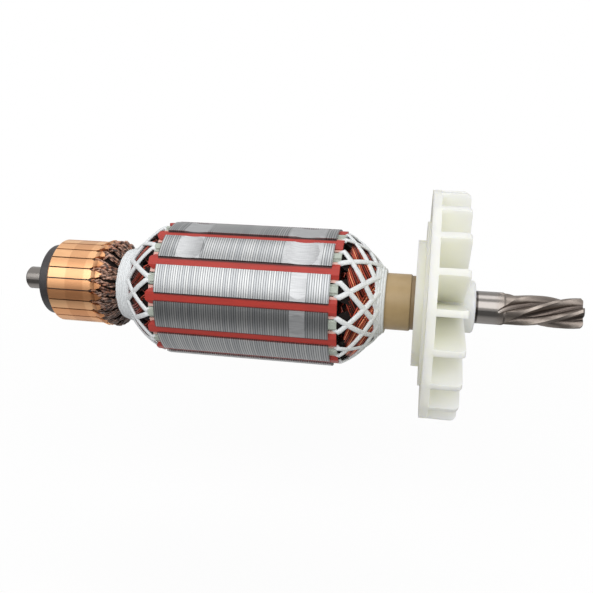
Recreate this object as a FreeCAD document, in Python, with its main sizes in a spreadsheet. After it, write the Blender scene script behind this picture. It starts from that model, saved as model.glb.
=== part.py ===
# Wound armature of a universal motor with its commutator, cooling fan and helical pinion.
# Millimetres. The shaft lies along X and the pinion points to +X. The origin is on the shaft axis, in the
# middle of the drive-end bearing seat. +Z is up. Angles about the shaft are measured from +Y towards +Z.

import FreeCAD
import Part
import Sketcher
import math
import os

doc = FreeCAD.newDocument("armature")
dims = doc.addObject("Spreadsheet::Sheet", "dims")
stations = doc.addObject("App::VarSet", "stations")
radii = doc.addObject("App::VarSet", "radii")

# Driving dimensions: alias, value and what it measures.
SIZES = [
    ("commutator_journal_diameter", 9.0, "bearing seat at the commutator end"),
    ("commutator_journal_length", 11.7, "visible length of that seat"),
    ("commutator_seat_diameter", 10.4, "shaft under the commutator"),
    ("core_seat_diameter", 14.0, "shaft under the insulating sleeve"),
    ("fan_seat_diameter", 12.6, "shaft under the fan"),
    ("drive_journal_diameter", 12.0, "bearing seat at the drive end"),
    ("drive_journal_length", 8.0, "clean length of that seat, under the bearing"),
    ("journal_tail_length", 2.1, "rest of the seat, which the tooth gaps run into"),
    ("shaft_end_chamfer", 0.7, "chamfer on both shaft ends"),
    ("pinion_diameter", 11.3, "over the tooth crests"),
    ("pinion_root_diameter", 5.8, "in the bottom of the tooth gaps"),
    ("pinion_length", 27.5, "from the shoulder of the seat to the end face"),
    ("pinion_teeth", 5, "number of teeth"),
    ("pinion_lead", 80.0, "length of one turn of the left-hand helix"),
    ("pinion_phase", 21.4, "angle of the first gap at the origin"),
    ("pinion_crest_width", 1.1, "flat land on a tooth"),
    ("pinion_gap_floor_width", 1.6, "width of the gap near its bottom"),
    ("pinion_gap_belly", 0.28, "how far the flanks bulge into the gap"),
    ("hob_radius", 20.0, "radius of the run-out at the end of each gap"),
    ("shaft_nose_diameter", 4.4, "rounded centre left on the pinion's end"),
    ("shaft_nose_height", 0.9, "its height"),
    ("sleeve_wall", 2.25, "insulating sleeve inside the core"),
    ("collar_wall", 3.65, "thick part of the sleeve between winding and fan"),
    ("collar_length", 26.3, "from the drive-end disc to the fan"),
    ("collar_step_depth", 0.5, "step down to the smaller end of the collar"),
    ("collar_step_length", 1.3, "its length"),
    ("collar_edge_chamfer", 0.4, "edge between the two"),
    ("core_diameter", 52.0, "over the teeth"),
    ("core_length", 64.0, "stack of sheets"),
    ("slot_count", 12, "slots and teeth"),
    ("slot_phase", 18.0, "angle of the first slot"),
    ("slot_mouth_width", 3.3, "opening of a slot at the outside"),
    ("slot_lip_drop", 0.7, "depth of the lips of the teeth"),
    ("slot_shoulder_width", 8.1, "widest place of a slot"),
    ("slot_shoulder_drop", 1.6, "its depth below the outside"),
    ("slot_floor_width", 3.0, "slot at its rounded bottom"),
    ("slot_floor_drop", 11.4, "its depth below the outside"),
    ("balance_mill_radius", 20.0, "cutter that took off material to balance"),
    ("balance_depth", 0.9, "deepest cut"),
    ("balance_light_depth", 0.35, "lightest cut"),
    ("balance_front_place", 11.0, "cuts near the commutator, from the core's end"),
    ("balance_rear_place", 11.0, "cuts near the fan, from the core's other end"),
    ("end_disc_thickness", 2.8, "insulating end disc"),
    ("end_disc_hub_wall", 5.25, "its ring round the sleeve"),
    ("finger_width", 4.0, "its finger over a tooth"),
    ("finger_drop", 1.1, "how far the finger stays below the core's outside"),
    ("finger_corner_radius", 0.9, "rounded outer corners of the finger"),
    ("wedge_width", 5.8, "fibre strip that closes a slot"),
    ("wedge_thickness", 1.2, "its thickness"),
    ("wedge_front_reach", 3.4, "sticks out towards the commutator"),
    ("wedge_rear_reach", 2.8, "sticks out towards the fan"),
    ("liner_thickness", 0.35, "insulating slot liner"),
    ("liner_reach", 2.6, "sticks out of the core at each end"),
    ("liner_flap_gap", 2.4, "between the two folded edges of a liner"),
    ("drive_head_length", 13.8, "winding head from the disc to its end"),
    ("drive_head_drop", 2.3, "at the disc, below the core's outside"),
    ("drive_head_curve", 46.0, "radius of its outline"),
    ("drive_head_end_rise", 0.75, "over the collar, where the head ends"),
    ("rear_head_length", 11.8, "conical winding head beside the commutator, to the cord ring"),
    ("rear_head_drop", 2.2, "at the disc, below the core's outside"),
    ("rear_head_curve", 36.0, "radius of its outline"),
    ("neck_length", 5.0, "waist of the winding under the cord ring"),
    ("neck_diameter", 23.6, "its thin end, beside the commutator"),
    ("neck_rise", 2.5, "how much thicker it is at the winding head"),
    ("head_notch_depth", 4.6, "hollow in a winding head behind each finger, along the shaft"),
    ("head_notch_width", 5.2, "its width at the disc"),
    ("head_notch_drop", 7.0, "its bottom, below the core's outside"),
    ("cord_width", 1.7, "lacing cord, pressed flat"),
    ("cord_thickness", 0.35, "its thickness"),
    ("drive_cord_sweep", 52.0, "angle that a strand turns on its way to the collar"),
    ("rear_cord_sweep", 27.0, "angle that a strand turns on its way to the cord ring"),
    ("cord_start_angle", 6.0, "from the middle of a finger to the start of a strand"),
    ("gather_length", 1.3, "stretch of a winding head under the turns of cord"),
    ("drive_band_length", 1.3, "stretch of the collar under them"),
    ("rear_ring_turns", 4, "turns of cord round the neck"),
    ("rear_ring_front_pile", 1.8, "height of the turns next to the commutator"),
    ("rear_ring_rear_pile", 1.3, "height of the turns next to the winding head"),
    ("commutator_gap", 28.4, "from the core to the ends of the bars"),
    ("commutator_diameter", 33.0, "brush track"),
    ("bar_count", 24, "copper bars"),
    ("bar_phase", 0.3, "angle of the middle of the first bar"),
    ("bar_length", 20.6, "copper bar without its tang"),
    ("bar_gap", 0.5, "between two bars"),
    ("bar_depth", 5.5, "from the brush track to the underside of a bar"),
    ("bar_bevel_length", 1.7, "bevel at the front of a bar"),
    ("bar_bevel_depth", 2.2, "at its front end"),
    ("bar_waist_length", 1.9, "narrow stretch before the tang"),
    ("tang_width", 2.5, "tang that holds the wires"),
    ("tang_reach", 3.4, "how far the tang goes past the bar"),
    ("tang_rise", 0.75, "height of the tang over the brush track"),
    ("tang_thickness", 1.1, "its thickness"),
    ("front_ring_length", 3.7, "black ring in front of the bars"),
    ("front_ring_drop", 2.4, "its outside, below the brush track"),
    ("front_ring_edge_radius", 0.9, "its rounded front edge"),
    ("rib_undercut", 0.7, "ribs between the bars stay below the copper"),
    ("lead_bulge_rise", 0.7, "varnished wires behind the tangs, over the brush track"),
    ("lead_start_drop", 1.9, "under the tangs, below the brush track"),
    ("lead_end_rise", 1.2, "over the thin end of the neck"),
    ("fan_diameter", 84.2, "cooling fan"),
    ("fan_plate_thickness", 3.0, "its plate"),
    ("fan_boss_diameter", 47.0, "raised disc towards the winding"),
    ("fan_boss_height", 2.9, "its height"),
    ("fan_ring_diameter", 61.0, "lower, wider step under it"),
    ("fan_ring_height", 1.1, "its height"),
    ("fan_blade_count", 20, "straight radial blades"),
    ("fan_phase", 0.8, "angle of the first blade"),
    ("fan_blade_height", 10.1, "from the plate"),
    ("fan_blade_thickness", 2.3, "of one blade"),
    ("fan_blade_corner_radius", 2.2, "rounded outer corner"),
    ("fan_hub_diameter", 19.4, "hub on the pinion side"),
    ("fan_hub_height", 4.4, "past the blades"),
    ("fan_hub_edge_radius", 1.2, "rounded edge of the hub"),
    ("cord_gap", 0.1, "between the strands of cord and the winding"),
    ("seat_gap", 0.02, "all round a piece that is pressed on another"),
    ("rest_gap", 0.06, "between a wound or laid piece and what carries it"),
]

for row, (alias, value, meaning) in enumerate(SIZES, start=1):
    dims.set("A%d" % row, meaning)
    dims.set("B%d" % row, str(value))
    dims.setAlias("B%d" % row, alias)
doc.recompute()

# Places along the shaft, each worked out from the sizes before it.
STATIONS = [
    ("journal_end", "(dims.drive_journal_length + dims.journal_tail_length) / 2"),
    ("hub_end", "-journal_end"),
    ("fan_face", "hub_end - dims.fan_hub_height - dims.fan_blade_height - dims.fan_plate_thickness"
                 " - dims.fan_ring_height - dims.fan_boss_height"),
    ("drive_disc_face", "fan_face - dims.collar_length"),
    ("core_end", "drive_disc_face - dims.end_disc_thickness"),
    ("core_start", "core_end - dims.core_length"),
    ("rear_disc_face", "core_start - dims.end_disc_thickness"),
    ("neck_start", "rear_disc_face - dims.rear_head_length"),
    ("neck_end", "neck_start - dims.neck_length"),
    ("bar_end", "core_start - dims.commutator_gap"),
    ("bar_start", "bar_end - dims.bar_length"),
    ("commutator_face", "bar_start - dims.front_ring_length"),
    ("shaft_start", "commutator_face - dims.commutator_journal_length"),
    ("shaft_end", "journal_end + dims.pinion_length"),
]

# Radii that more than one sub-part uses.
RADII = [
    ("core", "dims.core_diameter / 2"),
    ("sleeve", "dims.core_seat_diameter / 2 + dims.sleeve_wall"),
    ("collar", "dims.core_seat_diameter / 2 + dims.collar_wall"),
    ("disc_hub", "sleeve + dims.end_disc_hub_wall"),
    ("drive_head", "core - dims.drive_head_drop"),
    ("drive_head_end", "collar + dims.drive_head_end_rise"),
    ("rear_head", "core - dims.rear_head_drop"),
    ("neck", "dims.neck_diameter / 2"),
    ("rear_head_end", "neck + dims.neck_rise"),
    ("track", "dims.commutator_diameter / 2"),
    ("bar_underside", "track - dims.bar_depth"),
    ("bevel_end", "track - dims.bar_bevel_depth"),
]

for table, group, meaning in (
    (STATIONS, stations, "place along the shaft"),
    (RADII, radii, "distance from the shaft's axis"),
):
    for name, formula in table:
        group.addProperty("App::PropertyFloat", name, "Derived", meaning)
        group.setExpression(name, formula)
doc.recompute()


def value_of(formula):
    """The number that a formula of dims, stations and radii gives."""
    return float(dims.evalExpression(formula))


def origin_feature(body, role):
    """A plane or axis of a body's own origin."""
    return next(feature for feature in body.Origin.OriginFeatures if feature.Role == role)


def new_body(label, place="0", turn="0"):
    """A body whose own origin sits on the shaft axis at a place along it, turned about the shaft."""
    body = doc.addObject("PartDesign::Body", label)
    body.Label = label
    put(body, place, turn)
    return body


def put(item, place, turn):
    """Bind an object's place along the shaft and its turn about it."""
    item.Placement = FreeCAD.Placement(FreeCAD.Vector(), FreeCAD.Rotation(FreeCAD.Vector(1, 0, 0), 1))
    item.setExpression(".Placement.Base.x", place)
    item.setExpression(".Placement.Rotation.Angle", turn)


def arc_between(start, end, radius):
    """Arc of less than half a turn between two points. A positive radius bulges to the left of the way."""
    way = end.sub(start)
    half = way.Length / 2
    sag = math.sqrt(max(radius * radius - half * half, 0))
    side = FreeCAD.Vector(way.y, -way.x, 0).normalize().multiply(math.copysign(sag, radius))
    centre = start.add(end).multiply(0.5).add(side)
    first, last = (end, start) if radius > 0 else (start, end)
    angles = [math.atan2(point.y - centre.y, point.x - centre.x) for point in (first, last)]
    circle = Part.Circle(centre, FreeCAD.Vector(0, 0, 1), abs(radius))
    return Part.ArcOfCircle(circle, angles[0], angles[1])


def outline(body, name, role, corners):
    """Closed sketch through corners. A corner is two formulas, and a third makes an arc to the next corner."""
    sketch = body.newObject("Sketcher::SketchObject", name)
    sketch.AttachmentSupport = [(origin_feature(body, role), "")]
    sketch.MapMode = "FlatFace"
    points = [FreeCAD.Vector(value_of(corner[0]), value_of(corner[1]), 0) for corner in corners]
    begins = []
    ends = []
    for index, corner in enumerate(corners):
        start = points[index]
        end = points[(index + 1) % len(points)]
        if len(corner) == 3:
            radius = value_of(corner[2])
            sketch.addGeometry(arc_between(start, end, radius), False)
            begins.append(2 if radius > 0 else 1)
            ends.append(1 if radius > 0 else 2)
        else:
            sketch.addGeometry(Part.LineSegment(start, end), False)
            begins.append(1)
            ends.append(2)
    for index in range(len(corners)):
        after = (index + 1) % len(corners)
        sketch.addConstraint(Sketcher.Constraint("Coincident", index, ends[index], after, begins[after]))
    for index, corner in enumerate(corners):
        for kind, number, formula in (
            ("DistanceX", points[index].x, corner[0]),
            ("DistanceY", points[index].y, corner[1]),
        ):
            bound = sketch.addConstraint(Sketcher.Constraint(kind, index, begins[index], number))
            sketch.setExpression("Constraints[%d]" % bound, formula)
        if len(corner) == 3:
            bound = sketch.addConstraint(Sketcher.Constraint("Radius", index, abs(value_of(corner[2]))))
            sketch.setExpression("Constraints[%d]" % bound, "abs(%s)" % corner[2])
    return sketch


def revolve(body, name, corners, angle="360"):
    """Turn an outline, drawn as distance along the shaft and radius, about the shaft."""
    feature = body.newObject("PartDesign::Revolution", name)
    feature.Profile = (outline(body, name + "_outline", "XZ_Plane", corners), [""])
    feature.ReferenceAxis = (origin_feature(body, "X_Axis"), [""])
    feature.Midplane = True
    feature.setExpression("Angle", angle)
    return finish(body, feature)


def extrude(body, name, role, corners, length, both_ways=False, cut=False):
    """Pad an outline, or cut it out of the body, towards +X or to both sides of its plane."""
    feature = body.newObject("PartDesign::Pocket" if cut else "PartDesign::Pad", name)
    feature.Profile = (outline(body, name + "_outline", role, corners), [""])
    feature.Midplane = both_ways
    feature.Reversed = cut and not both_ways
    feature.setExpression("Length", length)
    return finish(body, feature, shrinks=cut)


def around(body, feature, count):
    """Repeat a feature evenly about the shaft."""
    pattern = body.newObject("PartDesign::PolarPattern", feature.Name + "_ring")
    pattern.Originals = [feature]
    pattern.Axis = (origin_feature(body, "X_Axis"), [""])
    pattern.Angle = 360
    pattern.setExpression("Occurrences", count)
    return finish(body, pattern, shrinks=feature.isDerivedFrom("PartDesign::Pocket"))


def finish(body, feature, shrinks=False):
    """Make a feature the body's last, and make sure that it added or removed material."""
    before = body.Shape.Volume if not body.Shape.isNull() else 0.0
    body.Tip = feature
    doc.recompute()
    change = body.Shape.Volume - before
    if (change >= 0) if shrinks else (change <= 0):
        raise RuntimeError("%s changed nothing in %s" % (feature.Name, body.Label))
    return feature


def ring_section(start, end, inner, outer):
    """Corners of a plain ring between two places and two radii."""
    return [(start, inner), (end, inner), (end, outer), (start, outer)]


def mirrored(corners):
    """Corners of the right half of an outline, from the bottom up, followed by their mirror images."""
    left = [("-(%s)" % corner[0], corner[1]) for corner in reversed(corners)]
    return list(corners) + left


sub_parts = []


def keep(item):
    """Add an object to the sub-parts that are written out."""
    sub_parts.append(item)
    return item


# Shaft: a stepped bar with a rounded end. Its own origin is the armature's.
def shaft_blank():
    body = new_body("shaft_blank")
    front = "dims.commutator_journal_diameter / 2"
    seat = "dims.commutator_seat_diameter / 2"
    middle = "dims.core_seat_diameter / 2"
    fan = "dims.fan_seat_diameter / 2"
    journal = "dims.drive_journal_diameter / 2"
    crest = "dims.pinion_diameter / 2"
    chamfer = "dims.shaft_end_chamfer"
    nose = "dims.shaft_nose_diameter / 2"
    revolve(body, "turned_bar", [
        ("stations.shaft_start", "0"),
        ("stations.shaft_end + dims.shaft_nose_height", "0"),
        ("stations.shaft_end + dims.shaft_nose_height", nose + " * 0.4"),
        ("stations.shaft_end", nose),
        ("stations.shaft_end", crest + " - " + chamfer),
        ("stations.shaft_end - " + chamfer, crest),
        ("stations.journal_end + " + chamfer, crest),
        ("stations.journal_end", journal),
        ("stations.hub_end", journal),
        ("stations.hub_end", fan),
        ("stations.fan_face", fan),
        ("stations.fan_face", middle),
        ("stations.neck_end", middle),
        ("stations.neck_end", seat),
        ("stations.commutator_face", seat),
        ("stations.commutator_face", front),
        ("stations.shaft_start + " + chamfer, front),
        ("stations.shaft_start", front + " - " + chamfer),
    ])
    return body


# One gap between two pinion teeth, drawn square to the shaft: its floor lies at a height above the axis.
def gap_section(place, floor):
    crest_radius = dims.pinion_diameter / 2
    root_radius = dims.pinion_root_diameter / 2
    lift = floor - root_radius
    half_angle = math.pi / dims.pinion_teeth - dims.pinion_crest_width / 2 / crest_radius
    rim = FreeCAD.Vector(place, crest_radius * math.sin(half_angle), crest_radius * math.cos(half_angle) + lift)
    low = FreeCAD.Vector(place, dims.pinion_gap_floor_width / 2, root_radius + dims.pinion_gap_belly + lift)
    out = rim.add(FreeCAD.Vector(0, rim.y - low.y, rim.z - low.z).normalize().multiply(root_radius))
    middle = rim.add(low).multiply(0.5)
    middle.y -= dims.pinion_gap_belly
    middle.z += dims.pinion_gap_belly / 2
    right = [low, middle, rim, out]
    left = [FreeCAD.Vector(point.x, -point.y, point.z) for point in right]
    floor_point = FreeCAD.Vector(place, 0, floor)

    def flank(points):
        curve = Part.BSplineCurve()
        curve.interpolate(points)
        return curve.toShape()

    edges = [
        flank(right),
        Part.LineSegment(out, left[3]).toShape(),
        flank(left[::-1]),
        Part.Arc(left[0], floor_point, low).toShape(),
    ]
    return Part.Wire(edges)


# The tooth gaps: one section carried along the helix, lifted out along the hob's arc behind the teeth.
def tooth_gaps():
    root_radius = dims.pinion_root_diameter / 2
    lift_at_exit = dims.drive_journal_diameter / 2 - root_radius
    run_out = math.sqrt(dims.hob_radius ** 2 - (dims.hob_radius - lift_at_exit) ** 2)
    exit_place = stations.journal_end - dims.journal_tail_length
    full_place = exit_place + run_out
    end_place = stations.shaft_end + dims.shaft_nose_height + 1
    places = [full_place - run_out * share for share in (1.12, 1.0, 0.85, 0.7, 0.55, 0.4, 0.25, 0.1)]
    straight_steps = 8
    places += [full_place + (end_place - full_place) * step / straight_steps for step in range(straight_steps + 1)]
    sections = []
    for place in places:
        back = max(full_place - place, 0)
        floor = root_radius + dims.hob_radius - math.sqrt(dims.hob_radius ** 2 - back ** 2)
        wire = gap_section(place, floor)
        wire.rotate(FreeCAD.Vector(), FreeCAD.Vector(1, 0, 0), dims.pinion_phase - 360 * place / dims.pinion_lead)
        sections.append(wire)
    gap = Part.makeLoft(sections, True, False)
    gaps = []
    for tooth in range(int(dims.pinion_teeth)):
        copy = gap.copy()
        copy.rotate(FreeCAD.Vector(), FreeCAD.Vector(1, 0, 0), 360 * tooth / dims.pinion_teeth)
        gaps.append(copy)
    tool = doc.addObject("Part::Feature", "tooth_gaps")
    tool.Shape = Part.makeCompound(gaps)
    return tool


def armature_shaft():
    shaft = doc.addObject("Part::Cut", "armature_shaft")
    shaft.Label = "armature_shaft"
    shaft.Base = shaft_blank()
    shaft.Tool = tooth_gaps()
    return keep(shaft)


# Insulating sleeve: thin inside the core, a thick collar between the winding and the fan.
def shaft_insulating_sleeve():
    body = new_body("shaft_insulating_sleeve", "stations.fan_face")
    inside = "dims.core_seat_diameter / 2 + dims.seat_gap"
    thin = "radii.sleeve"
    thick = "radii.collar"
    step = "radii.collar - dims.collar_step_depth"
    edge = "dims.collar_edge_chamfer"
    revolve(body, "tube", [
        ("stations.neck_end - stations.fan_face", inside),
        ("-dims.rest_gap", inside),
        ("-dims.rest_gap", step),
        ("-dims.collar_step_length", step),
        ("-dims.collar_step_length", thick + " - " + edge),
        ("-dims.collar_step_length - " + edge, thick),
        ("-dims.collar_length", thick),
        ("-dims.collar_length", thin),
        ("stations.neck_end - stations.fan_face", thin),
    ])
    return keep(body)


# Core: a ring of stacked sheets with 12 half-closed slots, and shallow cuts where it was balanced.
def lamination_core():
    body = new_body("lamination_core", "stations.core_start", "dims.slot_phase")
    radius = "radii.core"
    revolve(body, "stack", ring_section(
        "0", "dims.core_length", "radii.sleeve + dims.seat_gap", radius))
    slot = extrude(body, "slot", "YZ_Plane", mirrored([
        ("dims.slot_floor_width / 2", radius + " - dims.slot_floor_drop"),
        ("dims.slot_shoulder_width / 2", radius + " - dims.slot_shoulder_drop"),
        ("dims.slot_mouth_width / 2", radius + " - dims.slot_lip_drop"),
        ("dims.slot_mouth_width / 2", radius + " + 1"),
    ])[:-1] + [("-dims.slot_floor_width / 2", radius + " - dims.slot_floor_drop",
                "-dims.slot_floor_width * 0.55")], "dims.core_length", cut=True)
    around(body, slot, "dims.slot_count")
    pitch = 360 / dims.slot_count
    front = "dims.balance_front_place"
    rear = "dims.core_length - dims.balance_rear_place"
    cuts = [
        ("front_cut_upper", front, "dims.balance_depth", 3),
        ("front_cut_lower", front, "dims.balance_depth * 0.8", 4),
        ("rear_cut_upper", rear, "dims.balance_depth", 3),
        ("rear_cut_middle", rear, "dims.balance_depth", 4),
        ("rear_cut_lower", rear, "dims.balance_light_depth", 5),
        ("rear_cut_last", rear, "dims.balance_light_depth * 0.8", 6),
    ]
    for name, place, depth, teeth_on in cuts:
        mill = body.newObject("PartDesign::SubtractiveCylinder", name)
        angle = pitch * (teeth_on - 0.5)
        mill.setExpression("Radius", "dims.balance_mill_radius")
        mill.setExpression("Height", "dims.core_diameter / 4")
        distance = "(dims.core_diameter / 2 + dims.balance_mill_radius - %s)" % depth
        across = FreeCAD.Vector(0, -math.sin(math.radians(angle)), math.cos(math.radians(angle)))
        mill.Placement = FreeCAD.Placement(FreeCAD.Vector(), FreeCAD.Rotation(FreeCAD.Vector(0, 0, 1), across))
        mill.setExpression(".Placement.Base.x", place)
        reach = "dims.core_diameter / 8"
        mill.setExpression(".Placement.Base.y", "%s * cos(%g deg) + %s * sin(%g deg)"
                           % (distance, angle, reach, angle))
        mill.setExpression(".Placement.Base.z", "%s * sin(%g deg) - %s * cos(%g deg)"
                           % (distance, angle, reach, angle))
        finish(body, mill, shrinks=True)
    return keep(body)


# Insulating end disc: a ring with a straight finger over each tooth.
def end_disc(label, place):
    body = new_body(label, place, "dims.slot_phase + 180 / dims.slot_count")
    revolve(body, "ring", ring_section(
        "0", "dims.end_disc_thickness", "radii.sleeve + dims.seat_gap", "radii.disc_hub"))
    top = "radii.core - dims.finger_drop"
    corner = "dims.finger_corner_radius"
    finger = extrude(body, "finger", "YZ_Plane", [
        ("dims.finger_width / 2", "radii.disc_hub - 1"),
        ("dims.finger_width / 2", top + " - " + corner, corner),
        ("dims.finger_width / 2 - " + corner, top),
        ("-dims.finger_width / 2 + " + corner, top, corner),
        ("-dims.finger_width / 2", top + " - " + corner),
        ("-dims.finger_width / 2", "radii.disc_hub - 1"),
    ], "dims.end_disc_thickness")
    around(body, finger, "dims.slot_count")
    return keep(body)


def ring_of_copies(master, count, place, phase):
    """Name a body as the first of a ring, and add the others as links, each turned to its own place."""
    number = int(value_of(count))
    stem = master.Label
    master.Label = stem + "_01"
    keep(master)
    for index in range(1, number):
        link = doc.addObject("App::Link", "%s_%02d" % (stem, index + 1))
        link.LinkedObject = master
        link.LinkTransform = False
        link.Label = "%s_%02d" % (stem, index + 1)
        put(link, place, "%s + %d * 360 / %s" % (phase, index, count))
        keep(link)


# Slot liner: a thin channel with both edges folded in under the wedge.
def slot_liners():
    body = new_body("slot_liner", "stations.core_start - dims.liner_reach", "dims.slot_phase")
    radius = "radii.core"
    gap = "dims.rest_gap"
    skin = "dims.liner_thickness"
    floor = radius + " - dims.slot_floor_drop"
    shoulder = radius + " - dims.slot_shoulder_drop - " + skin
    half = [
        ("dims.slot_floor_width / 2 - " + gap, floor),
        ("dims.slot_shoulder_width / 2 - 2 * " + gap, shoulder),
        ("dims.liner_flap_gap / 2", shoulder),
        ("dims.liner_flap_gap / 2", shoulder + " - " + skin),
        ("dims.slot_shoulder_width / 2 - 2 * %s - 1.6 * %s" % (gap, skin), shoulder + " - " + skin),
        ("dims.slot_floor_width / 2 - %s - %s" % (gap, skin), floor + " + " + skin),
    ]
    extrude(body, "channel", "YZ_Plane", mirrored(half[::-1]), "dims.core_length + 2 * dims.liner_reach")
    ring_of_copies(body, "dims.slot_count", "stations.core_start - dims.liner_reach", "dims.slot_phase")


# Fibre wedge: a strip with a ridge in the slot's mouth, rounded at the commutator end.
def slot_wedges():
    body = new_body("slot_wedge", "stations.core_start - dims.wedge_front_reach", "dims.slot_phase")
    radius = "radii.core"
    gap = "dims.rest_gap"
    bottom = radius + " - dims.slot_shoulder_drop - dims.liner_thickness + " + gap
    edge = radius + " - dims.slot_shoulder_drop + " + gap
    ridge = bottom + " + dims.wedge_thickness"
    length = "dims.core_length + dims.wedge_front_reach + dims.wedge_rear_reach"
    extrude(body, "strip", "YZ_Plane", mirrored([
        ("dims.wedge_width / 2", bottom),
        ("dims.wedge_width / 2", edge),
        ("dims.slot_mouth_width / 2 - " + gap, ridge),
    ]), length)
    round_off = "dims.wedge_width / 2"
    for side, sign in (("left", "-"), ("right", "")):
        extrude(body, "tip_" + side, "XY_Plane", [
            ("-1", sign + "dims.wedge_width * 0.2"),
            ("0", sign + "dims.wedge_width * 0.2", ("-" if sign else "") + round_off),
            ("dims.wedge_width * 0.36", sign + "(dims.wedge_width / 2 + 0.01)"),
            ("dims.wedge_width * 0.36", sign + "dims.wedge_width"),
            ("-1", sign + "dims.wedge_width"),
        ], "2 * dims.core_diameter", both_ways=True, cut=True)
    ring_of_copies(body, "dims.slot_count", "stations.core_start - dims.wedge_front_reach", "dims.slot_phase")


# Winding: a bundle in each slot and a head at each end, hollowed behind the fingers of the discs.
def armature_winding():
    body = new_body("armature_winding", "stations.rear_disc_face", "dims.slot_phase")
    radius = "radii.core"
    skin = "(dims.liner_thickness + 2 * dims.rest_gap)"
    length = "dims.core_length + 2 * dims.end_disc_thickness"
    bundle = extrude(body, "bundle", "YZ_Plane", mirrored([
        ("dims.slot_floor_width / 2 - " + skin, radius + " - dims.slot_floor_drop + " + skin),
        ("dims.slot_shoulder_width / 2 - 0.8 - " + skin,
         radius + " - dims.slot_shoulder_drop - dims.liner_thickness - " + skin),
    ]), length)
    around(body, bundle, "dims.slot_count")
    revolve(body, "drive_head", [
        (length, "radii.collar + dims.rest_gap"),
        (length + " + dims.drive_head_length", "radii.collar + dims.rest_gap"),
        (length + " + dims.drive_head_length", "radii.drive_head_end", "-dims.drive_head_curve"),
        (length, "radii.drive_head"),
    ])
    inner = "radii.sleeve + dims.rest_gap"
    neck = "-dims.rear_head_length - dims.neck_length"
    revolve(body, "rear_head", [
        (neck, inner),
        ("0", inner),
        ("0", "radii.rear_head", "-dims.rear_head_curve"),
        ("-dims.rear_head_length", "radii.rear_head_end"),
        (neck, "radii.neck"),
    ])
    for name, start, way in (("drive_notch", length, "+"), ("rear_notch", "0", "-")):
        depth = "dims.head_notch_depth"
        notch = body.newObject("PartDesign::Pocket", name)
        notch.Profile = (outline(body, name + "_outline", "XY_Plane", [
            (start, "-dims.head_notch_width / 2"),
            ("%s %s %s" % (start, way, depth), "-dims.head_notch_width / 12"),
            ("%s %s %s" % (start, way, depth), "dims.head_notch_width / 12"),
            (start, "dims.head_notch_width / 2"),
        ]), [""])
        sketch = notch.Profile[0]
        sketch.setExpression(".AttachmentOffset.Base.z", "radii.core - dims.head_notch_drop")
        notch.Reversed = True
        notch.setExpression("Length", "dims.core_diameter")
        finish(body, notch, shrinks=True)
        around(body, notch, "dims.slot_count")
    return keep(body)


# Lacing: flat strands laid over a winding head in two layers, and the turns of cord that hold them.
def on_shaft(place, radius, degrees):
    """A point at a place along the shaft, at a radius and an angle about it."""
    angle = math.radians(degrees)
    return FreeCAD.Vector(place, radius * math.cos(angle), radius * math.sin(angle))


def head_arc(head):
    """Outline of a winding head, drawn as places and radii."""
    wide = FreeCAD.Vector(head["start"], head["start_radius"], 0)
    thin = FreeCAD.Vector(head["end"], head["end_radius"], 0)
    return arc_between(wide, thin, head["curve"] * head["toward"])


def head_radius(head, place):
    """Radius of a winding head at a place along the shaft."""
    arc = head_arc(head)
    return arc.Center.y + math.sqrt(arc.Radius ** 2 - (place - arc.Center.x) ** 2)


def strand(head, layer, first_angle, last_angle):
    """Flat cord from a finger of the disc to the band, as a ruled loft of small rectangles."""
    centre = head_arc(head).Center
    begin = head["start"] + head["toward"] * dims.cord_width / 2
    stop = head["end"] - head["toward"] * dims.gather_length / 2
    first = on_shaft(begin, head_radius(head, begin), first_angle)
    way = on_shaft(stop, head_radius(head, stop), last_angle).sub(first)
    lift = dims.cord_gap + layer * (dims.cord_thickness + 2 * dims.cord_gap)
    steps = 8
    sections = []
    for step in range(steps + 1):
        straight = first.add(way * (step / steps))
        radius = head_radius(head, straight.x)
        angle = math.degrees(math.atan2(straight.z, straight.y))
        outward = on_shaft(straight.x - centre.x, radius - centre.y, angle).normalize()
        across = outward.cross(way).normalize() * (dims.cord_width / 2)
        low = on_shaft(straight.x, radius, angle).add(outward * lift)
        high = low.add(outward * dims.cord_thickness)
        corners = [low.sub(across), low.add(across), high.add(across), high.sub(across)]
        sections.append(Part.makePolygon(corners + corners[:1]))
    return Part.makeLoft(sections, True, True)


def lacing(label, head, sweep, band):
    """Two strands from each finger, joined to a band, which is a closed outline of places and radii."""
    middle = dims.slot_phase + 180 / dims.slot_count
    strands = []
    for side in (-1, 1):
        layer = (side + 1) / 2
        one = strand(head, layer, middle - side * dims.cord_start_angle, middle + side * sweep)
        for tooth in range(int(dims.slot_count)):
            copy = one.copy()
            copy.rotate(FreeCAD.Vector(), FreeCAD.Vector(1, 0, 0), 360 * tooth / dims.slot_count)
            strands.append(copy)
    section = Part.makePolygon([FreeCAD.Vector(place, 0, radius) for place, radius in band + band[:1]])
    ring = Part.Face(section).revolve(FreeCAD.Vector(), FreeCAD.Vector(1, 0, 0), 360)
    item = doc.addObject("Part::Feature", label)
    item.Label = label
    item.Shape = ring.fuse(strands)
    return keep(item)


def band_height():
    """How far a band rises over its head, so that both layers of strands end inside it."""
    return 2 * dims.cord_thickness + 4 * dims.cord_gap


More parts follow.
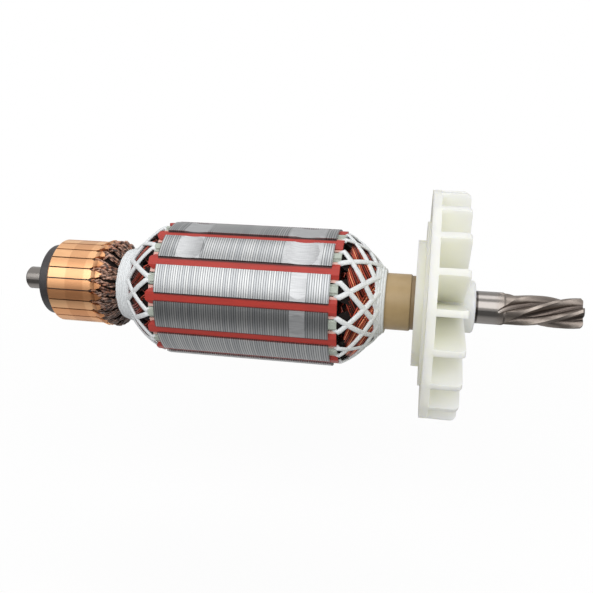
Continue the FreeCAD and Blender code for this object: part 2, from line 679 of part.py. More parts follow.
def drive_end_lacing():
    end = stations.drive_disc_face + dims.drive_head_length
    head = {
        "start": stations.drive_disc_face,
        "end": end,
        "start_radius": radii.drive_head,
        "end_radius": radii.drive_head_end,
        "curve": dims.drive_head_curve,
        "toward": 1,
    }
    under = dims.rest_gap
    over = band_height()
    begin = end - dims.gather_length
    return lacing("drive_end_lacing", head, dims.drive_cord_sweep, [
        (begin, head_radius(head, begin) + under),
        (end, head["end_radius"] + under),
        (end + under, radii.collar + under),
        (end + dims.drive_band_length, radii.collar + under),
        (end + dims.drive_band_length, radii.collar + over / 2),
        (end, head["end_radius"] + over),
        (begin, head_radius(head, begin) + over),
    ])


def commutator_end_lacing():
    head = {
        "start": stations.rear_disc_face,
        "end": stations.neck_start,
        "start_radius": radii.rear_head,
        "end_radius": radii.rear_head_end,
        "curve": dims.rear_head_curve,
        "toward": -1,
    }
    under = dims.rest_gap
    begin = stations.neck_start + dims.gather_length
    band = [
        (stations.neck_end, radii.neck + under),
        (stations.neck_start, head["end_radius"] + under),
        (begin, head_radius(head, begin) + under),
        (begin, head_radius(head, begin) + band_height()),
    ]
    turns = int(dims.rear_ring_turns)
    half = dims.neck_length / turns / 2
    front = radii.neck + dims.rear_ring_front_pile
    rear = radii.rear_head_end + dims.rear_ring_rear_pile
    for turn in reversed(range(turns)):
        centre = stations.neck_end + half * (2 * turn + 1)
        over = front + (rear - front) * (turn + 0.5) / turns
        edge = over - half * 0.7
        band += [(centre + half * 0.95, edge), (centre + half * 0.55, over),
                 (centre - half * 0.55, over), (centre - half * 0.95, edge)]
    return lacing("commutator_end_lacing", head, dims.rear_cord_sweep, band)


# Angle between the sides of two neighbouring bars.
BAR_GAP_ANGLE = "2 * asin(dims.bar_gap / dims.commutator_diameter) / 1 deg"


# Commutator hub: black moulding with a front ring and a thin rib between two bars.
def commutator_moulding():
    body = new_body("commutator_moulding", "stations.commutator_face",
                    "dims.bar_phase + 180 / dims.bar_count")
    inside = "dims.commutator_seat_diameter / 2 + dims.seat_gap"
    ring = "radii.track - dims.front_ring_drop"
    edge = "dims.front_ring_edge_radius"
    under = "radii.bar_underside - dims.seat_gap"
    length = "dims.front_ring_length + dims.bar_length"
    revolve(body, "hub", [
        ("0", inside),
        (length, inside),
        (length, under),
        ("dims.front_ring_length - dims.seat_gap", under),
        ("dims.front_ring_length - dims.seat_gap", ring),
        (edge, ring, "-" + edge),
        ("0", ring + " - " + edge),
    ])
    rib = revolve(body, "rib", [
        ("dims.front_ring_length / 2", under + " - 0.5"),
        (length, under + " - 0.5"),
        (length, "radii.track - dims.rib_undercut"),
        ("dims.front_ring_length + dims.bar_bevel_length", "radii.track - dims.rib_undercut"),
        ("dims.front_ring_length", "radii.bevel_end - dims.rib_undercut / 2"),
        ("dims.front_ring_length / 2", "radii.bevel_end - dims.rib_undercut"),
    ], "0.9 * " + BAR_GAP_ANGLE)
    around(body, rib, "dims.bar_count")
    return keep(body)


# Copper bar: a sector with a bevelled front, a waist and a tang that reaches over the wires.
def commutator_bars():
    place = "stations.bar_start"
    phase = "dims.bar_phase - 90"
    body = new_body("commutator_bar", place, phase)
    inside = "radii.bar_underside"
    track = "radii.track"
    angle = "360 / dims.bar_count - " + BAR_GAP_ANGLE
    revolve(body, "sector", [
        ("0", inside),
        ("dims.bar_length", inside),
        ("dims.bar_length", track),
        ("dims.bar_bevel_length", track),
        ("0", "radii.bevel_end"),
    ], angle)
    for side, sign in (("left", "-"), ("right", "")):
        extrude(body, "waist_" + side, "XY_Plane", [
            ("dims.bar_length - dims.bar_waist_length", sign + "dims.commutator_diameter / 4"),
            ("dims.bar_length - dims.bar_waist_length", sign + "dims.tang_width * 0.72"),
            ("dims.bar_length - dims.bar_waist_length * 0.4", sign + "dims.tang_width / 2"),
            ("dims.bar_length + 1", sign + "dims.tang_width / 2"),
            ("dims.bar_length + 1", sign + "dims.commutator_diameter / 4"),
        ], "2 * dims.commutator_diameter", both_ways=True, cut=True)
    back = "dims.bar_length - dims.bar_waist_length"
    top = track + " + dims.tang_rise"
    extrude(body, "tang", "XZ_Plane", [
        (back + " + dims.tang_rise", track + " - dims.tang_thickness"),
        ("dims.bar_length + dims.tang_reach", top + " - 1.5 * dims.tang_thickness"),
        ("dims.bar_length + dims.tang_reach", top + " - 0.6 * dims.tang_thickness",
         "dims.tang_reach"),
        ("dims.bar_length + dims.tang_reach * 0.3", top),
        (back + " + dims.tang_rise", track),
    ], "dims.tang_width", both_ways=True)
    for side, sign in (("left", "-"), ("right", "")):
        extrude(body, "point_" + side, "XY_Plane", [
            ("dims.bar_length + dims.tang_reach * 0.35", sign + "dims.tang_width / 2"),
            ("dims.bar_length + dims.tang_reach", sign + "dims.tang_width / 6"),
            ("dims.bar_length + dims.tang_reach + 1", sign + "dims.tang_width / 6"),
            ("dims.bar_length + dims.tang_reach + 1", sign + "dims.tang_width"),
            ("dims.bar_length + dims.tang_reach * 0.35", sign + "dims.tang_width"),
        ], "2 * dims.commutator_diameter", both_ways=True, cut=True)
    ring_of_copies(body, "dims.bar_count", place, phase)


# Wire ends: a waisted ring of varnished strands between the bars and the neck of the winding.
def commutator_leads():
    body = new_body("commutator_leads", "stations.bar_end + dims.rest_gap",
                    "dims.bar_phase + 180 / dims.bar_count - 90")
    length = "stations.neck_end - stations.bar_end - 2 * dims.rest_gap"
    bulge = "radii.track + dims.lead_bulge_rise"
    start = "radii.track - dims.lead_start_drop"
    past = "dims.tang_reach + dims.rest_gap"
    inner = "dims.commutator_seat_diameter / 2 + dims.rest_gap"
    revolve(body, "ring", [
        ("0", inner),
        (length, inner),
        (length, "radii.neck + dims.lead_end_rise"),
        (past + " + 0.45 * (%s - (%s))" % (length, past), bulge + " - 0.5"),
        (past, bulge),
        (past, start),
        ("0", start),
    ])
    return keep(body)


# Fan: stepped boss towards the winding, a plate, straight blades and a hub on the pinion side.
def cooling_fan():
    body = new_body("cooling_fan", "stations.fan_face", "dims.fan_phase - 90")
    inside = "dims.fan_seat_diameter / 2 + dims.seat_gap"
    ring_place = "dims.fan_boss_height"
    plate_place = "dims.fan_boss_height + dims.fan_ring_height"
    blade_place = plate_place + " + dims.fan_plate_thickness"
    blade_end = blade_place + " + dims.fan_blade_height"
    hub_end = blade_end + " + dims.fan_hub_height"
    hub = "dims.fan_hub_diameter / 2"
    rim = "dims.fan_diameter / 2"
    edge = "dims.fan_hub_edge_radius"
    revolve(body, "plate", [
        ("0", inside),
        (hub_end, inside),
        (hub_end, hub + " - " + edge, "-" + edge),
        (hub_end + " - " + edge, hub),
        (blade_place, hub),
        (blade_place, rim),
        (plate_place, rim),
        (plate_place, "dims.fan_ring_diameter / 2"),
        (ring_place, "dims.fan_ring_diameter / 2"),
        (ring_place, "dims.fan_boss_diameter / 2"),
        ("0", "dims.fan_boss_diameter / 2"),
    ])
    corner = "dims.fan_blade_corner_radius"
    blade = extrude(body, "blade", "XZ_Plane", [
        (blade_place + " - 0.5", hub + " - 0.5"),
        (blade_end, hub + " - 0.5"),
        (blade_end, rim + " - " + corner, "-" + corner),
        (blade_end + " - " + corner, rim),
        (blade_place + " - 0.5", rim),
    ], "dims.fan_blade_thickness", both_ways=True)
    around(body, blade, "dims.fan_blade_count")
    return keep(body)


armature_shaft()
shaft_insulating_sleeve()
lamination_core()
end_disc("commutator_end_disc", "stations.rear_disc_face")
end_disc("drive_end_disc", "stations.core_end")
slot_liners()
slot_wedges()
armature_winding()
commutator_moulding()
commutator_bars()
commutator_leads()
drive_end_lacing()
commutator_end_lacing()
cooling_fan()
doc.recompute()

# Nothing is written unless every object is sound.
for item in doc.Objects:
    if "Invalid" in item.State or "Error" in item.State:
        raise RuntimeError("%s is %s" % (item.Label, item.State))

os.makedirs("parts", exist_ok=True)
for item in sub_parts:
    shape = Part.getShape(item)
    if shape.isNull() or not shape.isValid():
        raise RuntimeError("%s has no sound shape" % item.Label)
    shape.exportStep(os.path.join("parts", item.Label + ".step"))
    print("%-28s solids %2d  volume %9.1f" % (item.Label, len(shape.Solids), shape.Volume))
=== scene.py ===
# Looks of a wound motor armature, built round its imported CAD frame.
# Metres. The shaft lies along X, the pinion points to +X and +Z is up. Angles about the shaft are in
# degrees, from +Y towards +Z, as in the CAD model. The camera looks along +Y from above.

import bpy
import bmesh
import math
import random
from mathutils import Matrix, Vector


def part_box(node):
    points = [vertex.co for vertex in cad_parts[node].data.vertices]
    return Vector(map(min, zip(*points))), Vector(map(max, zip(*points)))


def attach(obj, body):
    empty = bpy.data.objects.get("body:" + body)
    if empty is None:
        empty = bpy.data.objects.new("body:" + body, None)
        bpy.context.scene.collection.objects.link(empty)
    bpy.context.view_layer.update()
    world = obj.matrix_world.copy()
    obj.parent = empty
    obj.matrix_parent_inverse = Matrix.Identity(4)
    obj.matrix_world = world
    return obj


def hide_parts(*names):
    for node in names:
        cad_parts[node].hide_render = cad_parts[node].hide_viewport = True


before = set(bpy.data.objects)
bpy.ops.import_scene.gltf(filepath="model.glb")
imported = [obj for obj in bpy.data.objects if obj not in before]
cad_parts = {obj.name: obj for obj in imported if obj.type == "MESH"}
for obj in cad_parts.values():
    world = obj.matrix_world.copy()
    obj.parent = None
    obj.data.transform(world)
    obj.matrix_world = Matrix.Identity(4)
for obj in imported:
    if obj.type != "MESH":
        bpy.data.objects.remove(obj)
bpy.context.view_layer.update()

# Shaft: one bar of case-hardened steel. Its journals are ground and bright, with fine rings round them.
# The pinion is hobbed into its end and left duller and browner, with painted shade darkest in its tooth
# gaps.
MM = 0.001
# Between these two places, where the tooth gaps run out, the journal's look turns into the pinion's. Root
# and crest are radii.
RUNOUT_START = 1.7 * MM
RUNOUT_END = 5.7 * MM
PINION_ROOT = 3.0 * MM
PINION_CREST = 5.4 * MM
CORNER_SHADE_REACH = 1.1 * MM
RING_SPACING = 0.192 * MM
RING_LENGTH = 11.1 * MM
RING_DEPTH = 0.02 * MM
DIRT_SIZE = 2.38 * MM


def linear(code):
    """Linear colour of an sRGB hex code."""
    parts = [int(code[place:place + 2], 16) / 255 for place in (0, 2, 4)]
    return tuple(p / 12.92 if p <= 0.04045 else ((p + 0.055) / 1.055) ** 2.4 for p in parts) + (1.0,)


def add_node(material, kind, settings, inputs):
    """Add a node to a material. An input is a value or the output of another node."""
    node = material.node_tree.nodes.new(kind)
    for name, value in settings.items():
        setattr(node, name, value)
    for socket, value in inputs.items():
        if isinstance(value, bpy.types.NodeSocket):
            material.node_tree.links.new(value, node.inputs[socket])
        else:
            node.inputs[socket].default_value = value
    return node


def start_material(name, base, roughness, metallic=0.0):
    """A principled material in its plain colour, with its shader and the object's own coordinates."""
    material = bpy.data.materials.new(name)
    material.use_nodes = True
    shader = material.node_tree.nodes["Principled BSDF"]
    shader.inputs["Base Color"].default_value = linear(base)
    shader.inputs["Roughness"].default_value = roughness
    shader.inputs["Metallic"].default_value = metallic
    place = add_node(material, "ShaderNodeTexCoord", {}, {}).outputs["Object"]
    return material, shader, place


def connect(material, output, shader, socket):
    """Link a node's output to a socket of the shader."""
    material.node_tree.links.new(output, shader.inputs[socket])


def from_axis(material, place):
    """Distance of a place from the shaft's axis."""
    flat = add_node(material, "ShaderNodeVectorMath", {"operation": "MULTIPLY"}, {0: place, 1: (0, 1, 1)})
    length = add_node(material, "ShaderNodeVectorMath", {"operation": "LENGTH"}, {0: flat.outputs[0]})
    return length.outputs["Value"]


def dress(material, *names):
    """Give a material to CAD nodes."""
    for name in names:
        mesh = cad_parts[name].data
        mesh.materials.clear()
        mesh.materials.append(material)


# Ground steel: bright, with rings that are really too fine to see, drawn a fifth of a millimetre apart.
shaft_steel, shader, place = start_material("ground and hobbed shaft steel", "a39c97", 0.24, 1.0)
apart = add_node(shaft_steel, "ShaderNodeSeparateXYZ", {}, {"Vector": place})
ring_scale = add_node(shaft_steel, "ShaderNodeMapping", {}, {
    "Vector": place, "Scale": (1 / RING_SPACING, 1 / RING_LENGTH, 1 / RING_LENGTH)})
rings = add_node(shaft_steel, "ShaderNodeTexNoise", {}, {
    "Vector": ring_scale.outputs[0], "Scale": 1.0, "Detail": 2.0})
toothed = add_node(shaft_steel, "ShaderNodeMapRange", {}, {
    "Value": apart.outputs["X"], "From Min": RUNOUT_START, "From Max": RUNOUT_END})
dirt = add_node(shaft_steel, "ShaderNodeTexNoise", {}, {
    "Vector": place, "Scale": 1 / DIRT_SIZE, "Detail": 5.0})
brown_grey = add_node(shaft_steel, "ShaderNodeMix", {"data_type": "RGBA"}, {
    0: dirt.outputs[0], 6: linear("756b65"), 7: linear("a0978f")})
# Painted shade: the pinion darkens from its crests down into the gaps between its teeth.
up_tooth = add_node(shaft_steel, "ShaderNodeMapRange", {}, {
    "Value": from_axis(shaft_steel, place), "From Min": PINION_ROOT, "From Max": PINION_CREST})
root_shaded_tooth = add_node(shaft_steel, "ShaderNodeMix", {"data_type": "RGBA"}, {
    0: up_tooth.outputs[0], 6: linear("5d544f"), 7: brown_grey.outputs[2]})
steel_colour = add_node(shaft_steel, "ShaderNodeMix", {"data_type": "RGBA"}, {
    0: toothed.outputs[0], 6: linear("928d89"), 7: root_shaded_tooth.outputs[2]})
# Painted shade: a dark ring on the journal in the corner beside the fan's hub.
shaded_corner = add_node(shaft_steel, "ShaderNodeMath", {"operation": "COMPARE"}, {
    0: apart.outputs["X"], 1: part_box("cooling_fan")[1].x, 2: CORNER_SHADE_REACH})
corner_shaded_steel = add_node(shaft_steel, "ShaderNodeMix", {"data_type": "RGBA"}, {
    0: shaded_corner.outputs[0], 6: steel_colour.outputs[2], 7: linear("4a4643")})
connect(shaft_steel, corner_shaded_steel.outputs[2], shader, "Base Color")
steel_roughness = add_node(shaft_steel, "ShaderNodeMapRange", {}, {
    "Value": toothed.outputs[0], "To Min": 0.2, "To Max": 0.36})
connect(shaft_steel, steel_roughness.outputs[0], shader, "Roughness")
ring_bump = add_node(shaft_steel, "ShaderNodeBump", {}, {
    "Height": rings.outputs[0], "Strength": 0.18, "Distance": RING_DEPTH})
connect(shaft_steel, ring_bump.outputs[0], shader, "Normal")
dress(shaft_steel, "armature_shaft")


# Sleeve: glass-filled plastic moulded round the shaft under the core, tan and satin, with a thicker collar
# that shows between the winding and the fan. The collar's short thinner end beside the fan is painted
# darker as shade.
COLLAR_STEP = 1.9 * MM
STEP_EDGE = 0.5 * MM
MOTTLE_SIZE = 3.85 * MM
MOTTLE_DEPTH = 0.05 * MM
sleeve_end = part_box("shaft_insulating_sleeve")[1].x
sleeve_plastic, shader, place = start_material("tan glass-filled plastic", "a98f6c", 0.42)
apart = add_node(sleeve_plastic, "ShaderNodeSeparateXYZ", {}, {"Vector": place})
mottle = add_node(sleeve_plastic, "ShaderNodeTexNoise", {}, {
    "Vector": place, "Scale": 1 / MOTTLE_SIZE, "Detail": 4.0})
tan = add_node(sleeve_plastic, "ShaderNodeMix", {"data_type": "RGBA"}, {
    0: mottle.outputs[0], 6: linear("a28960"), 7: linear("b79d72")})
# Painted shade: the thinner end of the collar beside the fan is darker.
shaded_thin_end = add_node(sleeve_plastic, "ShaderNodeMapRange", {}, {
    "Value": apart.outputs["X"],
    "From Min": sleeve_end - COLLAR_STEP, "From Max": sleeve_end - COLLAR_STEP + STEP_EDGE})
sleeve_colour = add_node(sleeve_plastic, "ShaderNodeMix", {"data_type": "RGBA"}, {
    0: shaded_thin_end.outputs[0], 6: tan.outputs[2], 7: linear("8c7656")})
connect(sleeve_plastic, sleeve_colour.outputs[2], shader, "Base Color")
sleeve_bump = add_node(sleeve_plastic, "ShaderNodeBump", {}, {
    "Height": mottle.outputs[0], "Strength": 0.25, "Distance": MOTTLE_DEPTH})
connect(sleeve_plastic, sleeve_bump.outputs[0], shader, "Normal")
dress(sleeve_plastic, "shaft_insulating_sleeve")


# Core: half-millimetre electrical steel sheets, stamped, stacked and pressed on the sleeve. Their edges
# show as fine stripes, and the balance cuts are ground bright into some of the teeth.
SLOT_COUNT = 12
SLOT_PITCH = 360 / SLOT_COUNT
SLOT_PHASE = 18.0
SHEET_PITCH = 0.86 * MM
LINE_START = 0.04
LINE_END = 0.27
LINE_DEPTH = 0.06 * MM
CUT_DISTANCE = 11.0 * MM
RIM_DEPTH = 1.3 * MM
SCRATCH_LENGTH = 9.09 * MM
SCRATCH_WIDTH = 0.385 * MM
core_low, core_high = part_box("lamination_core")
core_radius = core_high.z


def count_around(material, place, pitch, offset):
    """The angle of a place about the shaft, counted in pitches, with an offset added."""
    apart = add_node(material, "ShaderNodeSeparateXYZ", {}, {"Vector": place})
    angle = add_node(material, "ShaderNodeMath", {"operation": "ARCTAN2"}, {
        0: apart.outputs["Z"], 1: apart.outputs["Y"]})
    count = add_node(material, "ShaderNodeMath", {"operation": "MULTIPLY_ADD"}, {
        0: angle.outputs[0], 1: math.degrees(1) / pitch, 2: offset})
    return count.outputs[0]


# The stripes are drawn as far apart as they look from here, which is more than one sheet's thickness.
core_steel, shader, place = start_material("edges of stamped steel sheets", "8f9296", 0.36, 1.0)
apart = add_node(core_steel, "ShaderNodeSeparateXYZ", {}, {"Vector": place})
sheets = add_node(core_steel, "ShaderNodeMath", {"operation": "DIVIDE"}, {
    0: apart.outputs["X"], 1: SHEET_PITCH})
sheet_number = add_node(core_steel, "ShaderNodeMath", {"operation": "FLOOR"}, {0: sheets.outputs[0]})
across_sheet = add_node(core_steel, "ShaderNodeMath", {"operation": "PINGPONG"}, {
    0: sheets.outputs[0], 1: 0.5})
edge_line = add_node(core_steel, "ShaderNodeMapRange", {"interpolation_type": "SMOOTHSTEP"}, {
    "Value": across_sheet.outputs[0], "From Min": LINE_START, "From Max": LINE_END})
sheet_tone = add_node(core_steel, "ShaderNodeTexWhiteNoise", {"noise_dimensions": "1D"}, {
    "W": sheet_number.outputs[0]})
plain_sheet = add_node(core_steel, "ShaderNodeMix", {"data_type": "RGBA"}, {
    0: sheet_tone.outputs[0], 6: linear("9c9ea0"), 7: linear("b4b5b5")})
striped = add_node(core_steel, "ShaderNodeMix", {"data_type": "RGBA"}, {
    0: edge_line.outputs[0], 6: linear("636567"), 7: plain_sheet.outputs[2]})
# A bright patch takes in the two teeth beside one slot, at a place along the core, and only their outside.
# The angle is counted on the turned place, so that it jumps on the far side and not between the patches.
on_rim = add_node(core_steel, "ShaderNodeMath", {"operation": "GREATER_THAN"}, {
    0: from_axis(core_steel, place), 1: core_radius - RIM_DEPTH})
turned = add_node(core_steel, "ShaderNodeVectorMath", {"operation": "SCALE"}, {0: place, "Scale": -1.0})
slot_count = count_around(core_steel, turned.outputs[0], SLOT_PITCH, (180 - SLOT_PHASE) / SLOT_PITCH)
patches = 0.0
for middle, half_length, slot_between in (
    (core_low.x + CUT_DISTANCE, 4.6 * MM, 3.0),
    (core_high.x - CUT_DISTANCE, 6.6 * MM, 3.0),
    (core_high.x - CUT_DISTANCE, 2.8 * MM, 5.0),
):
    along = add_node(core_steel, "ShaderNodeMath", {"operation": "COMPARE"}, {
        0: apart.outputs["X"], 1: middle, 2: half_length})
    across = add_node(core_steel, "ShaderNodeMath", {"operation": "COMPARE"}, {
        0: slot_count, 1: slot_between, 2: 1.0})
    patch = add_node(core_steel, "ShaderNodeMath", {"operation": "MULTIPLY"}, {
        0: along.outputs[0], 1: across.outputs[0]})
    joined = add_node(core_steel, "ShaderNodeMath", {"operation": "MAXIMUM"}, {
        0: patches, 1: patch.outputs[0]})
    patches = joined.outputs[0]
bright = add_node(core_steel, "ShaderNodeMath", {"operation": "MULTIPLY"}, {
    0: patches, 1: on_rim.outputs[0]})
# The scratches of the grinding run along the core and are drawn coarser than they are, so that they show.
scratch_scale = add_node(core_steel, "ShaderNodeMapping", {}, {
    "Vector": place, "Scale": (1 / SCRATCH_LENGTH, 1 / SCRATCH_WIDTH, 1 / SCRATCH_WIDTH)})
scratches = add_node(core_steel, "ShaderNodeTexNoise", {}, {
    "Vector": scratch_scale.outputs[0], "Scale": 1.0, "Detail": 3.0})
ground_steel = add_node(core_steel, "ShaderNodeMix", {"data_type": "RGBA"}, {
    0: scratches.outputs[0], 6: linear("98999b"), 7: linear("cccdce")})
core_colour = add_node(core_steel, "ShaderNodeMix", {"data_type": "RGBA"}, {
    0: bright.outputs[0], 6: striped.outputs[2], 7: ground_steel.outputs[2]})
connect(core_steel, core_colour.outputs[2], shader, "Base Color")
core_roughness = add_node(core_steel, "ShaderNodeMapRange", {}, {
    "Value": bright.outputs[0], "To Min": 0.36, "To Max": 0.5})
connect(core_steel, core_roughness.outputs[0], shader, "Roughness")
sheet_bump = add_node(core_steel, "ShaderNodeBump", {}, {
    "Height": edge_line.outputs[0], "Strength": 0.12, "Distance": LINE_DEPTH})
connect(core_steel, sheet_bump.outputs[0], shader, "Normal")
dress(core_steel, "lamination_core")


# End discs: stamped grey-green insulating board, a finger over each tooth. The cut faces are a little
# fibrous and the varnish makes them satin. The fibres are drawn coarser than they are, so that they show.
FIBRE_SIZE = 1.67 * MM
FIBRE_DEPTH = 0.05 * MM
disc_fibre, shader, place = start_material("varnished insulating board", "a9b1a5", 0.45)
fibres = add_node(disc_fibre, "ShaderNodeTexNoise", {}, {
    "Vector": place, "Scale": 1 / FIBRE_SIZE, "Detail": 4.0})
board = add_node(disc_fibre, "ShaderNodeMix", {"data_type": "RGBA"}, {
    0: fibres.outputs[0], 6: linear("98a195"), 7: linear("bcc3b8")})
connect(disc_fibre, board.outputs[2], shader, "Base Color")
disc_bump = add_node(disc_fibre, "ShaderNodeBump", {}, {
    "Height": fibres.outputs[0], "Strength": 0.3, "Distance": FIBRE_DEPTH})
connect(disc_fibre, disc_bump.outputs[0], shader, "Normal")
dress(disc_fibre, "commutator_end_disc", "drive_end_disc")


# Slot liners: insulating paper, folded and pushed into the slots, with its edges standing out at both
# ends. It is pale pink and matt, with a faint mottle of pulp, drawn coarse enough to show.
PULP_SIZE = 2.0 * MM
SLOT_NUMBERS = range(1, SLOT_COUNT + 1)
liner_paper, shader, place = start_material("pink insulating paper", "dba79b", 0.65)
pulp = add_node(liner_paper, "ShaderNodeTexNoise", {}, {
    "Vector": place, "Scale": 1 / PULP_SIZE, "Detail": 3.0})
paper = add_node(liner_paper, "ShaderNodeMix", {"data_type": "RGBA"}, {
    0: pulp.outputs[0], 6: linear("cf9488"), 7: linear("ecc9be")})
connect(liner_paper, paper.outputs[2], shader, "Base Color")
dress(liner_paper, *["slot_liner_%02d" % number for number in SLOT_NUMBERS])


# Winding: one enamelled copper wire, wound by machine through the slots in bundles that cross over one
# another at both ends. The CAD solid is the mass of it, painted dark as shade, and the wires that show lie
# on it as bundles.
WIRE_RADIUS = 0.34 * MM
WIRE_STEPS = 12
SHOW_START = 0.02
SHOW_SHARE = 0.97
RISE_SHARE = 0.3
RISE_DEPTH = 4.2 * MM
NARROW_SHARE = 0.6
SPREAD_SHARE = 0.25
SWEEP_EASE = 0.85
WAVER = 0.25 * MM
winding_low, winding_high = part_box("armature_winding")
# Each head runs from a disc's face to where it is gathered. It is an arc between its widest and thinnest
# radius. Its wires go round by sweep degrees, and slant is the cosine of the angle at which they lean.
REAR_LENGTH = 11.8 * MM
DRIVE_HEAD = {
    "face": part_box("drive_end_disc")[1].x, "end": winding_high.x, "toward": 1,
    "wide": 23.7 * MM, "thin": 11.4 * MM, "curve": 46 * MM, "sweep": 78, "slant": 0.75,
}
REAR_HEAD = {
    "face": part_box("commutator_end_disc")[0].x, "end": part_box("commutator_end_disc")[0].x - REAR_LENGTH,
    "toward": -1, "wide": 23.8 * MM, "thin": 14.3 * MM, "curve": 36 * MM, "sweep": 34, "slant": 0.95,
}


def on_shaft(place, radius, degrees):
    """A point at a place along the shaft, at a radius and an angle about it."""
    angle = math.radians(degrees)
    return Vector((place, radius * math.cos(angle), radius * math.sin(angle)))


def head_centre(head):
    """Centre of the arc that a winding head's outline is, as a place and a radius."""
    wide = Vector((head["face"], head["wide"]))
    chord = Vector((head["end"], head["thin"])) - wide
    outward = Vector((-chord.y, chord.x)).normalized() * head["toward"]
    sag = math.sqrt(head["curve"] ** 2 - chord.length_squared / 4)
    return wide + chord / 2 - outward * sag


def head_radius(head, place):
    """Radius of a winding head at a place along the shaft."""
    centre = head_centre(head)
    return centre.y + math.sqrt(head["curve"] ** 2 - (place - centre.x) ** 2)


def tubes(name, paths, radius, materials, closed=False, sides=1):
    """A mesh of round tubes along paths. Each path is a list of points and the number of its material."""
    data = bpy.data.curves.new(name, "CURVE")
    for material in materials:
        data.materials.append(material)
    data.dimensions = "3D"
    data.bevel_depth = radius
    data.bevel_resolution = sides
    data.use_fill_caps = not closed
    for points, number in paths:
        spline = data.splines.new("POLY")
        spline.points.add(len(points) - 1)
        for point, spot in zip(spline.points, points):
            point.co = (*spot, 1.0)
        spline.use_cyclic_u = closed
        spline.use_smooth = True
        spline.material_index = number
    curve = bpy.data.objects.new(name + "_path", data)
    bpy.context.scene.collection.objects.link(curve)
    mesh = bpy.data.meshes.new_from_object(curve)
    mesh.name = name
    bpy.data.objects.remove(curve)
    piece = bpy.data.objects.new(name, mesh)
    bpy.context.scene.collection.objects.link(piece)
    return piece


def bundle(head, slot, way, count, width, lift, tones, chance):
    """Wires that leave a slot, rise to the head's skin and cross it side by side."""
    paths = []
    reach = head["end"] - head["face"]
    for number in range(count):
        side = (number / (count - 1) - 0.5) * width
        waver = chance.uniform(-WAVER, WAVER)
        points = []
        for step in range(WIRE_STEPS + 1):
            share = step / WIRE_STEPS
            place = head["face"] + reach * (SHOW_START + SHOW_SHARE * share)
            skin = head_radius(head, place)
            sunk = RISE_DEPTH * max(1 - share / RISE_SHARE, 0) ** 2
            spread = NARROW_SHARE + (1 - NARROW_SHARE) * min(share / SPREAD_SHARE, 1)
            sideways = side * spread + waver * math.sin(6 * share + number)
            drift = math.degrees(sideways / (skin * head["slant"]))
            turn = way * head["sweep"] * share ** SWEEP_EASE
            points.append(on_shaft(place, skin + lift - sunk, slot + drift + turn))
        paths.append((points, tones[number % len(tones)]))
    return paths


# Polyester enamel over copper: clear and glossy, with metal under it, darker or lighter by its thickness.
ENAMEL_PATCH = 4.35 * MM
# The wire is one enamel throughout: the brown copy is painted shade and the orange copy is painted glints.
RED, SHADE_BROWN, GLINT_ORANGE = range(3)
wire_materials = []
for name, dark, light, metallic in (("red enamelled wire", "6a2117", "b84a33", 0.8),
                                    ("brown wire painted as shade", "38120c", "74301f", 0.8),
                                    ("orange wire painted as glints", "b25838", "e6966e", 0.6)):
    wire, shader, place = start_material(name, light, 0.26, metallic)
    thickness = add_node(wire, "ShaderNodeTexNoise", {}, {
        "Vector": place, "Scale": 1 / ENAMEL_PATCH, "Detail": 3.0})
    enamel = add_node(wire, "ShaderNodeMix", {"data_type": "RGBA"}, {
        0: thickness.outputs[0], 6: linear(dark), 7: linear(light)})
    connect(wire, enamel.outputs[2], shader, "Base Color")
    shader.inputs["Coat Weight"].default_value = 0.25
    shader.inputs["Coat Roughness"].default_value = 0.15
    wire_materials.append(wire)

# Painted shade: deep between the wires the mass is near black, and bumped rough like the wires under it.
MASS_GRAIN = 1.43 * MM
MASS_DEPTH = 0.2 * MM
shade_dark_winding_mass, shader, place = start_material("wire mass painted dark as shade", "0e0504", 0.75)
shader.inputs["Specular IOR Level"].default_value = 0.25
grain = add_node(shade_dark_winding_mass, "ShaderNodeTexNoise", {}, {
    "Vector": place, "Scale": 1 / MASS_GRAIN, "Detail": 3.0})
mass_bump = add_node(shade_dark_winding_mass, "ShaderNodeBump", {}, {
    "Height": grain.outputs[0], "Strength": 0.6, "Distance": MASS_DEPTH})
connect(shade_dark_winding_mass, mass_bump.outputs[0], shader, "Normal")
dress(shade_dark_winding_mass, "armature_winding")

# The way that the coil wound last over each slot runs, 0 where there is none.
LAST_COILS = (0, -1, 1, 1, 0, 0, 0, -1, -1, 0, 1, 1)
chance = random.Random(7)
slot_angles = [SLOT_PHASE + SLOT_PITCH * index for index in range(SLOT_COUNT)]
drive_paths = []
# Lower bundles are mostly brown, painted shade in the depths; the top bundles carry orange, painted glints.
for slot, last in zip(slot_angles, LAST_COILS):
    for way in (-1, 1):
        drive_paths += bundle(DRIVE_HEAD, slot, way, count=5, width=5.2 * MM, lift=(-0.3 + 0.1 * way) * MM,
                              tones=(SHADE_BROWN, RED, SHADE_BROWN), chance=chance)
    if last:
        drive_paths += bundle(DRIVE_HEAD, slot, last, count=8, width=8.8 * MM, lift=0.5 * MM,
                              tones=(RED, GLINT_ORANGE, RED, SHADE_BROWN), chance=chance)
drive_wires = tubes("drive_end_wires", drive_paths, WIRE_RADIUS, wire_materials)
rear_paths = []
for slot in slot_angles:
    rear_paths += bundle(REAR_HEAD, slot, 1, count=6, width=5.0 * MM, lift=0.15 * MM,
                         tones=(RED, RED, SHADE_BROWN), chance=chance)
    rear_paths += bundle(REAR_HEAD, slot, -1, count=6, width=5.0 * MM, lift=-0.2 * MM,
                         tones=(SHADE_BROWN,), chance=chance)
rear_wires = tubes("commutator_end_wires", rear_paths, WIRE_RADIUS, wire_materials)
for piece in (drive_wires, rear_wires):
    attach(piece, "root")


